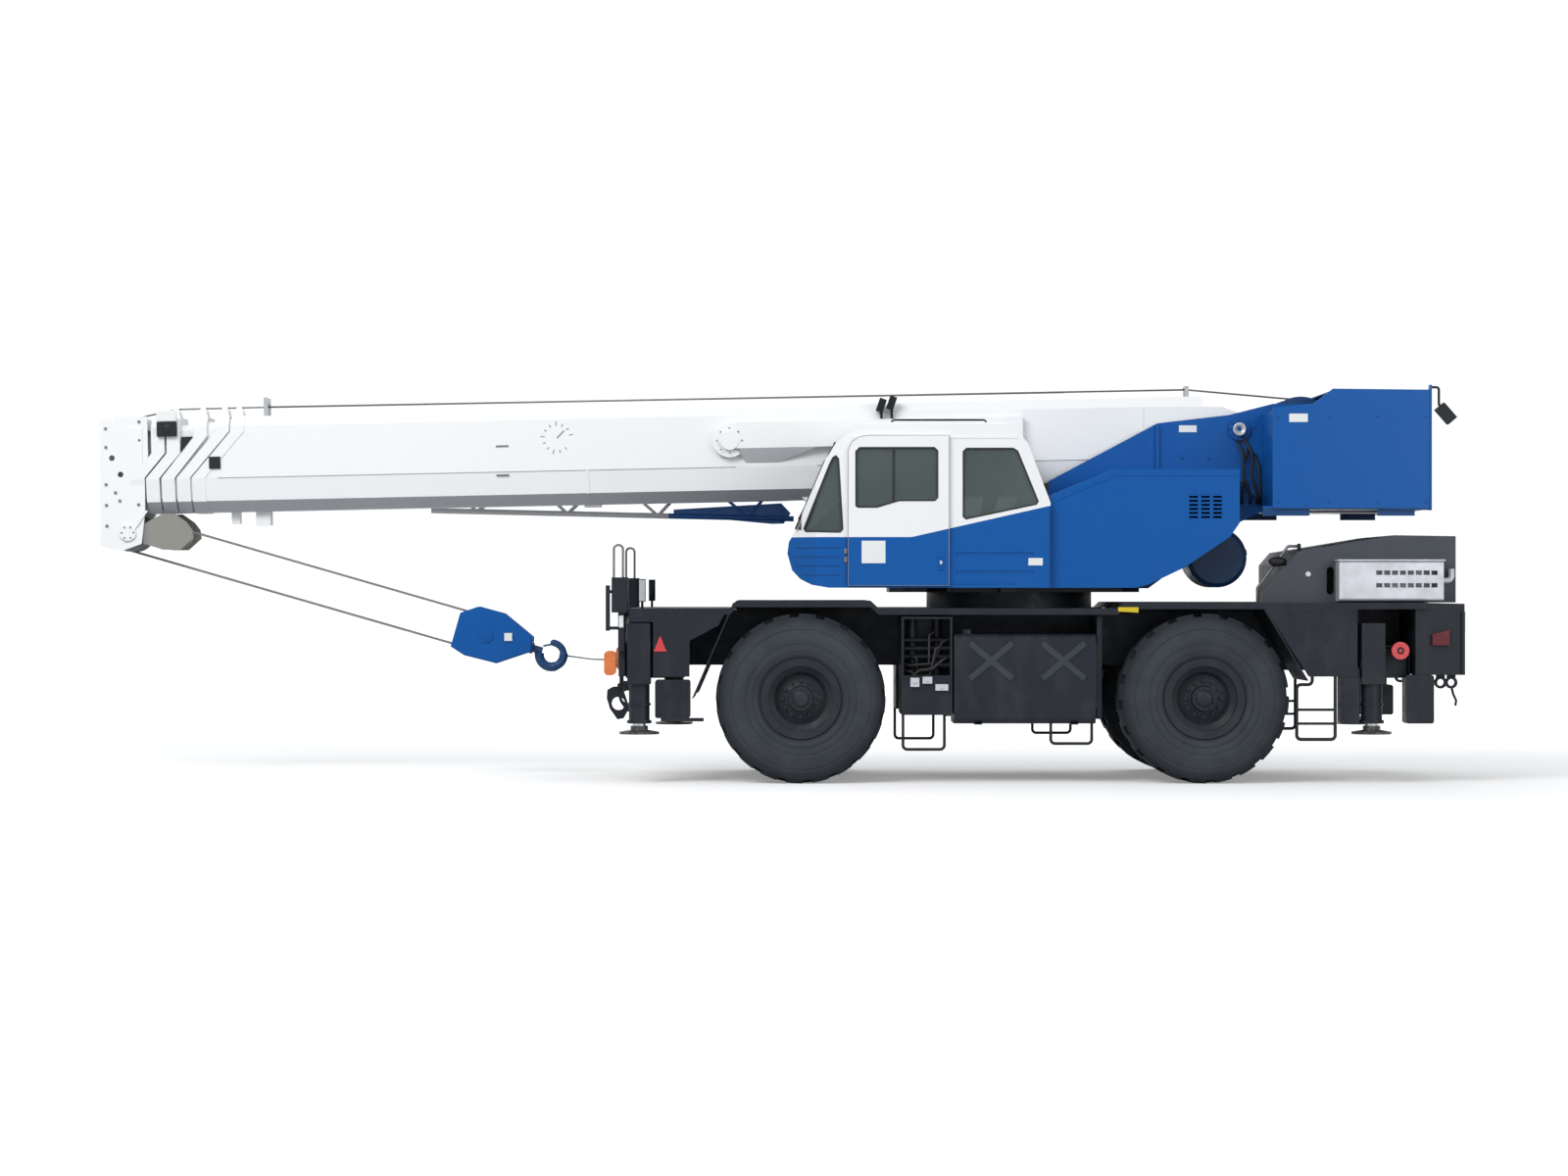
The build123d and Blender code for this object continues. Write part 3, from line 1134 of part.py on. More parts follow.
if __name__ == "__main__":
    corners = [(end, name, side) for end in ("front", "rear")
               for name, side in (("left", -1), ("right", 1))]
    for end, name, side in corners:
        axle_x = front_axle_x if end == "front" else rear_axle_x
        beam_x = front_beam_x if end == "front" else rear_beam_x
        steered_corner(axle_x, side, f"{end}_{name}")
        write(outrigger_beam(beam_x, side), f"outrigger_beam_{end}_{name}")
        write(outrigger_jack(beam_x, side), f"outrigger_jack_{end}_{name}")
    carrier = {
        "axles": Compound([axle(front_axle_x), axle(rear_axle_x)]), "suspension": suspension(),
        "carrier_frame": carrier_frame(), "outrigger_boxes": Compound(outrigger_boxes()),
        "fenders": fenders(), "slew_ring": slew_ring(), "engine_hood": engine_hood(),
        "engine_block": engine_block(), "muffler_cover": muffler_cover(),
        "side_tanks": side_tanks(), "equipment_boxes": Compound(equipment_boxes()),
        "steps": Compound(steps()), "front_body": front_body(), "rear_body": rear_body(),
        "guard_rails": Compound(guard_rails()), "lamps": Compound(lamps())}
    superstructure = {
        "turntable": turntable(), "cab_shell": cab_shell(), "cab_glass": Compound(cab_glass()),
        "cab_interior": cab_interior(), "side_boxes": Compound(side_boxes()),
        "counterweight": counterweight(), "winches": Compound(winches()),
        "tail_drum": tail_drum(), "cab_door": cab_door(), "door_glass": door_glass(),
        "superstructure_fittings": Compound(superstructure_fittings())}
    boom = {
        "boom_base": boom_base(), "boom_section_2": boom_section(1),
        "boom_section_3": boom_section(2), "boom_section_4": boom_section(3),
        "boom_section_5": top_section(), "head_sheaves": Compound(head_sheaves()),
        "boom_fittings": Compound(boom_fittings()), "stowed_jib": stowed_jib()}
    lifting = {
        "lift_barrel": lift_barrel(), "lift_rod": lift_rod(),
        "hook_block": on_block(hook_block()), "hook": on_block(hook()),
        "hoist_falls": Compound(hoist_falls())}
    for node, shape in {**carrier, **superstructure, **lifting}.items():
        write(shape, node)
    for node, shape in boom.items():
        write(on_boom(shape), node)
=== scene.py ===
from math import cos, pi, radians, sin

import bmesh
import bpy
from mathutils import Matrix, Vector


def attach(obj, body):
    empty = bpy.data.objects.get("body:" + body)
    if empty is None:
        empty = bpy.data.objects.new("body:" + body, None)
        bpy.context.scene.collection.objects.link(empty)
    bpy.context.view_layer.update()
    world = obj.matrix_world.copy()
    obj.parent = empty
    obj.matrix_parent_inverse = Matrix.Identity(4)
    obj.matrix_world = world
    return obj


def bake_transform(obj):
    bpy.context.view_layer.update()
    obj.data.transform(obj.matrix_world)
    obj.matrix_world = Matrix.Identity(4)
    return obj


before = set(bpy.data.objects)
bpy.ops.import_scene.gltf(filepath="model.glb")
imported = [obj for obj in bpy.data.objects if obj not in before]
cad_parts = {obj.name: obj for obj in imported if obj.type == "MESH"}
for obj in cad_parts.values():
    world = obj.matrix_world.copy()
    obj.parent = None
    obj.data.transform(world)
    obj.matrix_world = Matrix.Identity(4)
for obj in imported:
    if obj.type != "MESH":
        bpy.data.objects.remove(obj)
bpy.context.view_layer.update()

# Pieces are drawn in millimetres, which MM turns into metres; shaders and stage use metres
MM = 0.001

# The boom's tilt at rest and its foot pin (x, z)
DROOP = radians(1.2)
PIN = (4493, 3356)

# Places on the crane, y towards its right side
WHEEL_X = {"front": 270, "rear": 4045}
WHEEL_Y = 1190
WHEEL_Z = 795
CAB_Y = -1380
DOOR_Y = -1418
DECK_Y = 1400
TANK_Y = 1380
CHEEK_Y = 396
TAIL_Y = 1220

# Places in the boom's own frame, from its foot pin
BOOM_Y = 310
HEAD_Y = 300
CREASE_Z = -258
ROPE_Z = 412


# Shaders

class Shader:
    """A Principled material whose inputs are built from nodes in the crane's own frame."""

    def __init__(self, name):
        self.material = bpy.data.materials.new(name)
        self.material.use_nodes = True
        self.tree = self.material.node_tree
        self.tree.nodes.clear()
        self.output = self.add("ShaderNodeOutputMaterial")
        self.surface = self.add("ShaderNodeBsdfPrincipled")
        self.tree.links.new(self.surface.outputs[0], self.output.inputs[0])
        coordinates = self.add("ShaderNodeTexCoord").outputs
        self.place, self.normal = coordinates["Object"], coordinates["Normal"]
        split = self.add("ShaderNodeSeparateXYZ")
        self.tree.links.new(self.place, split.inputs[0])
        self.x, self.y, self.z = split.outputs

    def add(self, kind):
        return self.tree.nodes.new(kind)

    def put(self, socket, value):
        if isinstance(value, bpy.types.NodeSocket):
            self.tree.links.new(value, socket)
        else:
            socket.default_value = value

    def math(self, operation, a, b=0.0, clamp=False):
        node = self.add("ShaderNodeMath")
        node.operation = operation
        node.use_clamp = clamp
        self.put(node.inputs[0], a)
        self.put(node.inputs[1], b)
        return node.outputs[0]

    def spread(self, value, low_in, high_in, low_out=0.0, high_out=1.0):
        node = self.add("ShaderNodeMapRange")
        for socket, item in zip(node.inputs, (value, low_in, high_in, low_out, high_out)):
            self.put(socket, item)
        return node.outputs[0]

    def noise(self, scale, detail=4.0, stretch=(1, 1, 1)):
        mapping = self.add("ShaderNodeMapping")
        self.put(mapping.inputs["Vector"], self.place)
        mapping.inputs["Scale"].default_value = stretch
        node = self.add("ShaderNodeTexNoise")
        self.put(node.inputs["Vector"], mapping.outputs[0])
        node.inputs["Scale"].default_value = scale
        node.inputs["Detail"].default_value = detail
        return node.outputs[0]

    def mix(self, share, a, b):
        node = self.add("ShaderNodeMix")
        node.data_type = "RGBA"
        self.put(node.inputs[0], share)
        for socket, colour in ((node.inputs[6], a), (node.inputs[7], b)):
            self.put(socket, colour if isinstance(colour, bpy.types.NodeSocket) else (*colour, 1))
        return node.outputs[2]

    def bump(self, height, strength, distance):
        node = self.add("ShaderNodeBump")
        node.inputs["Strength"].default_value = strength
        node.inputs["Distance"].default_value = distance
        self.put(node.inputs["Height"], height)
        self.put(self.surface.inputs["Normal"], node.outputs[0])

    def end(self, colour, rough, metal=0.0, coat=0.0, alpha=1.0, gloss=0.5):
        sockets = self.surface.inputs
        sockets["Specular IOR Level"].default_value = gloss
        self.put(sockets["Base Color"], colour)
        self.put(sockets["Roughness"], rough)
        if metal is not None:
            sockets["Metallic"].default_value = metal
        sockets["Coat Weight"].default_value = coat
        sockets["Alpha"].default_value = alpha
        return self.material


def weathered(shader, colour, dust, top, amount):
    """A colour with faint mottling and more dust towards the ground."""
    mottled = shader.mix(shader.spread(shader.noise(2.2), 0.35, 0.7, 0, 0.1), colour,
                         shader.mix(0.15, colour, dust))
    height = shader.spread(shader.z, 0.2, top, 1.0, 0.12)
    grime = shader.spread(shader.noise(5.5, 6, (1, 1, 0.5)), 0.45, 0.75)
    share = shader.math("MULTIPLY", shader.math("MULTIPLY", height, grime), amount, True)
    return shader.mix(share, mottled, dust)


def enamel(name, colour, rough=0.34, dust=(0.36, 0.34, 0.30), top=2.6, amount=0.28, gloss=0.3,
           painted_underside_shade=0.0):
    shader = Shader(name)
    shade = weathered(shader, colour, dust, top, amount)
    # Faces turned downward are painted darker, towards a blue-grey, by up to the share given:
    # painted shade on the undersides.
    if painted_underside_shade:
        facing = shader.add("ShaderNodeSeparateXYZ")
        shader.put(facing.inputs[0], shader.normal)
        share = shader.spread(facing.outputs[2], -0.3, -0.8, 0.0, painted_underside_shade)
        shade = shader.mix(share, shade, (0.16, 0.18, 0.22))
    shader.bump(shader.noise(140, 2), 0.05, 0.001)
    return shader.end(shade, shader.spread(shader.noise(9), 0.3, 0.7, rough - 0.06, rough + 0.1),
                      gloss=gloss)


WHITE = (0.80, 0.815, 0.825)
BLUE = (0.0015, 0.085, 0.33)
NAVY = (0.008, 0.05, 0.16)
DARK = (0.0085, 0.0125, 0.0195)
GREY = (0.052, 0.060, 0.072)


def two_tone(name, low_colour, high_colour, border):
    """Paint that changes from one colour to another across a line drawn by the shader."""
    shader = Shader(name)
    share = shader.math("GREATER_THAN", shader.z, border(shader))
    shade = weathered(shader, shader.mix(share, low_colour, high_colour), (0.12, 0.17, 0.25),
                      2.6, 0.05)
    return shader.end(shade, shader.spread(shader.noise(9), 0.3, 0.7, 0.26, 0.4), gloss=0.2)


def cab_border(shader):
    slope = shader.math("MULTIPLY", shader.math("SUBTRACT", shader.x, 1.306), 0.2255)
    return shader.math("ADD", shader.math("MAXIMUM", slope, 0.0), 2.307)


def guide_border(shader):
    """Black work lamps at the middle of the boom, pale rope guides at its ends."""
    far = shader.math("ABSOLUTE", shader.math("SUBTRACT", shader.x, 1.1))
    return shader.math("MULTIPLY", shader.math("LESS_THAN", far, 1.0), 9.0)


def rib_tone(name):
    """The side tanks' dark paint, a little paler on their pressed ribs."""
    shader = Shader(name)
    proud = shader.spread(shader.math("ABSOLUTE", shader.y), 1.3805, 1.383)
    low_part = shader.spread(shader.z, 0.60, 0.62)
    share = shader.math("MULTIPLY", proud, low_part)
    shade = weathered(shader, shader.mix(share, DARK, (0.030, 0.040, 0.050)),
                      (0.085, 0.085, 0.085), 2.2, 0.25)
    return shader.end(shade, shader.spread(shader.noise(9), 0.3, 0.7, 0.36, 0.52), gloss=0.25)


def tread_plate(name):
    """Dark paint with raised diamonds on it, for the decks."""
    shader = Shader(name)
    across = shader.math("SINE", shader.math("MULTIPLY", shader.x, 150.0))
    along = shader.math("SINE", shader.math("MULTIPLY", shader.y, 150.0))
    shader.bump(shader.math("MULTIPLY", across, along), 0.25, 0.002)
    shade = weathered(shader, DARK, (0.10, 0.10, 0.095), 2.2, 0.2)
    return shader.end(shade, shader.spread(shader.noise(7), 0.3, 0.7, 0.42, 0.6), gloss=0.25)


def wheel_distance(shader):
    """How far a spot is from the nearer axle, in metres."""
    middle = (WHEEL_X["front"] + WHEEL_X["rear"]) / 2 * MM
    half = (WHEEL_X["rear"] - WHEEL_X["front"]) / 2 * MM
    across = shader.math("ABSOLUTE", shader.math("SUBTRACT", shader.x, middle))
    along = shader.math("ABSOLUTE", shader.math("SUBTRACT", across, half))
    rise = shader.math("ABSOLUTE", shader.math("SUBTRACT", shader.z, WHEEL_Z * MM))
    return shader.math("SQRT", shader.math("ADD", shader.math("POWER", along, 2.0),
                                           shader.math("POWER", rise, 2.0)))


def rubber(name):
    """Tyre rubber, darker at the rim and on the tread than on the sidewall."""
    shader = Shader(name)
    shade = shader.mix(shader.spread(shader.noise(3, 6), 0.35, 0.7, 0.1, 0.75),
                       (0.030, 0.036, 0.043), (0.046, 0.054, 0.063))
    reach = wheel_distance(shader)
    inner = shader.spread(reach, 0.37, 0.42, 0.9, 0.0)
    outer = shader.spread(reach, 0.66, 0.75, 0.0, 0.8)
    shade = shader.mix(shader.math("MAXIMUM", inner, outer), shade, (0.010, 0.014, 0.019))
    shader.bump(shader.noise(60, 3), 0.15, 0.002)
    return shader.end(shade, shader.spread(shader.noise(8), 0.3, 0.7, 0.72, 0.9), gloss=0.25)


def metal(name, colour, rough, scale=30, stretch=(1, 1, 8), metallic=1.0):
    shader = Shader(name)
    grain = shader.noise(scale, 3, stretch)
    shade = shader.mix(shader.spread(grain, 0.3, 0.7, 0.0, 0.5), colour,
                       tuple(c * 0.62 for c in colour))
    return shader.end(shade, shader.spread(grain, 0.3, 0.7, rough - 0.05, rough + 0.12),
                      metal=metallic)


def glass(name):
    shader = Shader(name)
    shade = shader.mix(shader.spread(shader.noise(1.4), 0.3, 0.7), (0.07, 0.10, 0.095),
                       (0.10, 0.135, 0.125))
    return shader.end(shade, shader.spread(shader.noise(6), 0.3, 0.7, 0.04, 0.09), coat=0.2,
                      alpha=0.62)


def lens(name):
    """Amber at the front corners and red elsewhere."""
    shader = Shader(name)
    share = shader.math("GREATER_THAN", shader.x, -1.4)
    shade = shader.mix(share, (0.70, 0.16, 0.015), (0.60, 0.012, 0.02))
    shade = shader.mix(shader.spread(shader.noise(20), 0.4, 0.7, 0.0, 0.25), shade,
                       (0.2, 0.05, 0.03))
    ribs = shader.math("SINE", shader.math("MULTIPLY", shader.z, 900.0))
    shader.bump(ribs, 0.3, 0.001)
    return shader.end(shade, shader.spread(shader.noise(12), 0.3, 0.7, 0.14, 0.24), coat=0.6)


def cloth(name):
    shader = Shader(name)
    shade = shader.mix(shader.spread(shader.noise(60), 0.3, 0.7), (0.022, 0.024, 0.028),
                       (0.05, 0.053, 0.06))
    shader.bump(shader.noise(400, 2), 0.3, 0.001)
    return shader.end(shade, shader.spread(shader.noise(20), 0.3, 0.7, 0.75, 0.92))


def jib_tone(name):
    """The pale jib with its blue rear wedge."""
    shader = Shader(name)
    share = shader.math("GREATER_THAN", shader.x, -1.02)
    shade = weathered(shader, shader.mix(share, (0.55, 0.56, 0.57), BLUE),
                      (0.30, 0.28, 0.25), 3, 0.2)
    return shader.end(shade, shader.spread(shader.noise(9), 0.3, 0.7, 0.34, 0.5))


def bracket_tone(name):
    """Steel sheaves between the head's white cheeks, and the grey auxiliary bracket."""
    shader = Shader(name)
    share = shader.math("GREATER_THAN", shader.x, -6.03)
    shade = shader.mix(share, (0.20, 0.20, 0.205), (0.23, 0.225, 0.205))
    shade = weathered(shader, shade, (0.12, 0.11, 0.10), 3.2, 0.3)
    return shader.end(shade, shader.spread(shader.noise(9), 0.3, 0.7, 0.36, 0.52))


def jack_tone(name):
    """A bright rod over a dark, scuffed float."""
    shader = Shader(name)
    share = shader.spread(shader.z, 0.536, 0.540)
    scuffed = shader.mix(shader.spread(shader.noise(30, 5), 0.45, 0.7), (0.02, 0.022, 0.026),
                         (0.12, 0.115, 0.11))
    shade = shader.mix(share, scuffed, (0.55, 0.56, 0.58))
    shader.put(shader.surface.inputs["Metallic"], share)
    return shader.end(shade, shader.spread(shader.noise(9), 0.3, 0.7, 0.22, 0.4), metal=None)


white = enamel("white_enamel", WHITE, amount=0.1)
# The boom's paint is darker on its downward faces: painted shade.
boom_white_painted_shade = enamel("boom_enamel", WHITE, amount=0.1, painted_underside_shade=0.85)
blue = enamel("blue_enamel", BLUE, amount=0.06, dust=(0.04, 0.11, 0.24), gloss=0.18)
navy = enamel("navy_enamel", NAVY, amount=0.1, dust=(0.05, 0.08, 0.14))
dark = enamel("carrier_enamel", DARK, 0.42, (0.085, 0.085, 0.085), 2.2, 0.25, 0.25)
grey = enamel("hood_enamel", GREY, 0.45, (0.14, 0.14, 0.14), 2.6, 0.15, 0.25)
rim_grey = enamel("rim_enamel", (0.012, 0.017, 0.023), 0.5, (0.07, 0.07, 0.07), 2.0, 0.3, 0.25)
black = enamel("black_enamel", (0.009, 0.010, 0.012), 0.48, (0.08, 0.08, 0.08), 2.0, 0.2, 0.25)
plate_white = enamel("plate_enamel", (0.74, 0.76, 0.76), 0.4, amount=0.1)
yellow = enamel("label_enamel", (0.62, 0.46, 0.02), 0.4, amount=0.2)
marker_red = enamel("marker_enamel", (0.10, 0.006, 0.012), 0.3, amount=0.1)
deck = tread_plate("deck_enamel")
tyre_rubber = rubber("tyre_rubber")
seal = metal("seal_rubber", (0.012, 0.012, 0.013), 0.6, 40, (1, 1, 1), 0.0)
chrome = metal("rod_chrome", (0.72, 0.73, 0.75), 0.14, 12, (8, 8, 1))
jack_paint = jack_tone("jack_enamel")
bright = metal("bright_sheet", (0.60, 0.61, 0.66), 0.36, 8, (1, 1, 1), 0.35)
steel = metal("plain_steel", (0.20, 0.20, 0.21), 0.42, 20, (1, 1, 1), 0.8)
# A mid grey for lines drawn along creases and edges: painted shade and painted highlight.
painted_line_grey = metal("painted_line_enamel", (0.30, 0.31, 0.32), 0.5, 20, (1, 1, 1), 0.0)
rope_steel = metal("rope_steel", (0.20, 0.20, 0.195), 0.46, 220, (1, 3, 1), 0.7)
mirror_face = metal("mirror_face", (0.62, 0.65, 0.67), 0.08, 3, (1, 1, 1))
pane = glass("window_glass")
lenses = lens("lamp_lens")
seat = cloth("seat_cloth")
cab_paint = two_tone("cab_enamel", BLUE, WHITE, cab_border)
table_paint = two_tone("table_enamel", DARK, BLUE, lambda shader: 1.845)
tail_paint = two_tone("tail_enamel", NAVY, BLUE, lambda shader: 2.585)
drum_paint = enamel("drum_enamel", (0.004, 0.020, 0.055), amount=0.1, dust=(0.03, 0.05, 0.09),
                    gloss=0.2)
jib_paint = jib_tone("jib_enamel")
fitting_paint = two_tone("fitting_enamel", (0.010, 0.011, 0.013), (0.42, 0.43, 0.44),
                         guide_border)
head_paint = bracket_tone("bracket_enamel")
tank_paint = rib_tone("tank_enamel")

corners = [f"{end}_{side}" for end in ("front", "rear") for side in ("left", "right")]
finishes = {
    "axles": black, "suspension": black, "carrier_frame": dark, "outrigger_boxes": dark,
    "fenders": deck, "slew_ring": dark, "engine_hood": grey, "engine_block": steel,
    "muffler_cover": bright, "side_tanks": tank_paint, "equipment_boxes": dark, "steps": black,
    "front_body": dark, "rear_body": dark, "guard_rails": steel, "lamps": lenses,
    "turntable": table_paint, "cab_shell": cab_paint, "cab_glass": pane, "cab_interior": seat,
    "side_boxes": blue, "counterweight": tail_paint, "winches": navy, "tail_drum": drum_paint,
    "cab_door": cab_paint, "door_glass": pane, "superstructure_fittings": black,
    "boom_base": boom_white_painted_shade, "boom_section_2": boom_white_painted_shade, "boom_section_3": boom_white_painted_shade,
    "boom_section_4": boom_white_painted_shade, "boom_section_5": boom_white_painted_shade, "head_sheaves": head_paint,
    "boom_fittings": fitting_paint, "stowed_jib": jib_paint, "lift_barrel": white,
    "lift_rod": chrome, "hook_block": blue, "hook": navy, "hoist_falls": rope_steel}
for corner in corners:
    finishes.update({f"tyre_{corner}": tyre_rubber, f"rim_{corner}": rim_grey,
                     f"knuckle_{corner}": black, f"outrigger_beam_{corner}": dark,
                     f"outrigger_jack_{corner}": jack_paint})
for node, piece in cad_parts.items():
    piece.data.materials.clear()
    piece.data.materials.append(finishes[node])


# Pieces

def on_boom(point):
    """A point given in the boom's own frame, in the crane's."""
    x, y, z = point
    return (PIN[0] + x * cos(DROOP) - z * sin(DROOP), y, PIN[1] + x * sin(DROOP) + z * cos(DROOP))


def finish_piece(mesh, name, material, body, bevel=0.0):
    mesh.calc_loop_triangles()
    piece = bpy.data.objects.new(name, mesh)
    bpy.context.scene.collection.objects.link(piece)
    mesh.materials.append(material)
    if bevel:
        edge = piece.modifiers.new("bevel", "BEVEL")
        edge.width = bevel * MM
        edge.segments = 2
        edge.limit_method = "ANGLE"
    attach(piece, body)
    return piece


def to_mesh(bm, name):
    mesh = bpy.data.meshes.new(name)
    bmesh.ops.recalc_face_normals(bm, faces=bm.faces)
    bm.to_mesh(mesh)
    bm.free()
    return mesh


def add_tube(bm, points, radius, closed=False, sides=8):
    """A round bar that follows points given in millimetres."""
    path = [Vector(p) * MM for p in points]
    count = len(path)
    rings = []
    for i, here in enumerate(path):
        before = path[i - 1] if i or closed else here
        after = path[(i + 1) % count] if i + 1 < count or closed else here
        way = (after - before).normalized()
        side = way.orthogonal() if abs(way.y) > 0.9 else way.cross(Vector((0, 1, 0)))
        side.normalize()
        up = way.cross(side)
        rings.append([bm.verts.new(here + radius * MM * (side * cos(a) + up * sin(a)))
                      for a in (2 * pi * k / sides for k in range(sides))])
    spans = range(count if closed else count - 1)
    for i in spans:
        a, b = rings[i], rings[(i + 1) % count]
        for k in range(sides):
            bm.faces.new((a[k], a[(k + 1) % sides], b[(k + 1) % sides], b[k]))
    if not closed:
        bm.faces.new(rings[0])
        bm.faces.new(list(reversed(rings[-1])))


def add_prism(bm, outline, y0, y1, place=lambda p: p):
    """A flat plate: an outline of (x, z) points between two depths."""
    near = [bm.verts.new(Vector(place((x, y0, z))) * MM) for x, z in outline]
    far = [bm.verts.new(Vector(place((x, y1, z))) * MM) for x, z in outline]
    bm.faces.new(near)
    bm.faces.new(list(reversed(far)))
    for i in range(len(outline)):
        j = (i + 1) % len(outline)
        bm.faces.new((near[i], far[i], far[j], near[j]))


def add_bolt(bm, centre, radius, height, way):
    """A six-sided bolt head with a chamfered top, standing along way."""
    axis = Vector(way).normalized()
    side = axis.orthogonal().normalized()
    up = axis.cross(side)
    base = Vector(centre) * MM
    rings = []
    for reach, size in ((0, 1.0), (0.75, 1.0), (1.0, 0.8)):
        rings.append([bm.verts.new(base + axis * height * reach * MM
                                   + radius * size * MM * (side * cos(a) + up * sin(a)))
                      for a in (pi * k / 3 for k in range(6))])
    for low_ring, high_ring in zip(rings, rings[1:]):
        for k in range(6):
            bm.faces.new((low_ring[k], low_ring[(k + 1) % 6], high_ring[(k + 1) % 6],
                          high_ring[k]))
    bm.faces.new(rings[-1])
    bm.faces.new(list(reversed(rings[0])))


def add_lathe(bm, profile, centre, sides=48):
    """A turned piece round the Y axis: profile holds (radius, y) points."""
    base = Vector(centre) * MM
    rings = []
    for radius, y in profile:
        rings.append([bm.verts.new(base + Vector((radius * cos(a), y, radius * sin(a))) * MM)
                      for a in (2 * pi * k / sides for k in range(sides))])
    for a, b in zip(rings, rings[1:]):
        for k in range(sides):
            bm.faces.new((a[k], a[(k + 1) % sides], b[(k + 1) % sides], b[k]))


def smooth(piece):
    for face in piece.data.polygons:
        face.use_smooth = True
    return piece


def ring_points(centre, radius, count, start=0.0):
    x, y, z = centre
    return [(x + radius * cos(2 * pi * k / count + start), y,
             z + radius * sin(2 * pi * k / count + start)) for k in range(count)]


# Wheels: sidewall rings, hub caps and their bolts

for corner in corners:
    end, side = corner.split("_")
    way = -1 if side == "left" else 1
    x, y = WHEEL_X[end], way * WHEEL_Y
    bm = bmesh.new()
    for radius, reach, size in ((452, 280, 6), (520, 288, 4), (655, 285, 5)):
        for face_way in (-1, 1):
            circle = ring_points((x, y + face_way * reach, WHEEL_Z), radius, 72)
            add_tube(bm, circle, size, closed=True, sides=6)
    smooth(finish_piece(to_mesh(bm, "walls"), f"tyre_walls_{corner}", tyre_rubber,
                        f"wheel_{corner}"))
    bm = bmesh.new()
    cap = [(0.5, 262), (58, 260), (74, 250), (84, 228), (108, 226), (110, 214)]
    add_lathe(bm, [(r, way * d) for r, d in cap], (x, y, WHEEL_Z))
    for spot in ring_points((x, y + way * 226, WHEEL_Z), 96, 12):
        add_bolt(bm, spot, 8, 9, (0, way, 0))
    smooth(finish_piece(to_mesh(bm, "cap"), f"hub_cap_{corner}", rim_grey, f"wheel_{corner}"))


# Cab: window seals, wipers, hinges, pressed lines, door trim, a painted light and shade line round
# the door, and blank plates

door_window = [(788, 2600), (788, 3110), (820, 3142), (1520, 3142), (1549, 3115), (1549, 2675),
               (1525, 2650), (1190, 2650), (985, 2588), (800, 2588)]
quarter_window = [(300, 2385), (318, 2362), (415, 2360), (640, 2355), (662, 2380), (622, 3040),
                  (600, 3068), (572, 3050), (540, 2985), (415, 2673)]
rear_window = [(1792, 3110), (1820, 3138), (2260, 3138), (2300, 3115), (2494, 2640), (2480, 2615),
               (1815, 2476), (1792, 2495)]


def cab_skin(x):
    """The depth of the cab's left skin at x, round its cut front corner."""
    return max(CAB_Y, -(x + 965)) if x < 415 else CAB_Y


bm = bmesh.new()
add_tube(bm, [(x, cab_skin(x), z) for x, z in quarter_window], 8, closed=True)
add_tube(bm, [(x, CAB_Y + 4, z) for x, z in rear_window], 8, closed=True)
screen = [(224, -1242, 2391), (498, -1242, 3025), (498, -522, 3025), (224, -522, 2391)]
add_tube(bm, screen, 9, closed=True)
smooth(finish_piece(to_mesh(bm, "seals"), "cab_seals", seal, "superstructure"))

bm = bmesh.new()
add_tube(bm, [(x, DOOR_Y, z) for x, z in door_window], 8, closed=True)
add_tube(bm, [(1138, DOOR_Y + 2, 2640), (1138, DOOR_Y + 2, 3140)], 7)
smooth(finish_piece(to_mesh(bm, "door_seal"), "door_seal", seal, "cab_door"))

bm = bmesh.new()
add_tube(bm, [(600, -905, 3215), (420, -905, 2800), (250, -1050, 2480)], 8)
add_tube(bm, [(420, -905, 2800), (330, -1180, 2640)], 6)
add_tube(bm, [(560, -640, 3150), (395, -760, 2760)], 7)
smooth(finish_piece(to_mesh(bm, "trim"), "cab_trim", black, "superstructure"))

bm = bmesh.new()
for z in (2150, 2070):
    add_prism(bm, [(676, z), (706, z), (706, z + 50), (676, z + 50)], CAB_Y - 16, CAB_Y + 1)
finish_piece(to_mesh(bm, "hinges"), "cab_hinges", steel, "superstructure", 4)

bm = bmesh.new()
for z in (2205, 2120, 2035, 1950):
    start = 215 if z > 2000 else 300
    add_tube(bm, [(x, cab_skin(x), z) for x in (start, 415, 640)], 4, sides=6)
add_tube(bm, [(700, CAB_Y, 1850), (700, CAB_Y, 2290)], 4, sides=6)
add_tube(bm, [(2604, CAB_Y, 1850), (2604, CAB_Y, 2590)], 4, sides=6)
finish_piece(to_mesh(bm, "cab_ribs"), "cab_ribs", navy, "superstructure")

# A grey line round the door's rounded edge: painted highlight on its blue part and painted shade
# on its white part.
door_edge = [(713, 1853), (713, 3118), (748, 3198), (822, 3247), (902, 3259), (1658, 3259),
             (1658, 1853)]
bm = bmesh.new()
add_tube(bm, [(x, DOOR_Y + 0.5, z) for x, z in door_edge], 3.5, closed=True, sides=6)
smooth(finish_piece(to_mesh(bm, "door_edge"), "door_edge", painted_line_grey, "cab_door"))
bm = bmesh.new()
lock = [(0.5, DOOR_Y - 8), (15, DOOR_Y - 8), (19, DOOR_Y - 4), (19, DOOR_Y + 1)]
add_lathe(bm, lock, (1580, 0, 2068), 20)
smooth(finish_piece(to_mesh(bm, "door_lock"), "door_lock", bright, "cab_door"))

bm = bmesh.new()
add_prism(bm, [(840, 2062), (1062, 2062), (1062, 2272), (840, 2272)], DOOR_Y - 3, DOOR_Y)
finish_piece(to_mesh(bm, "door_plate"), "door_plate", plate_white, "cab_door")

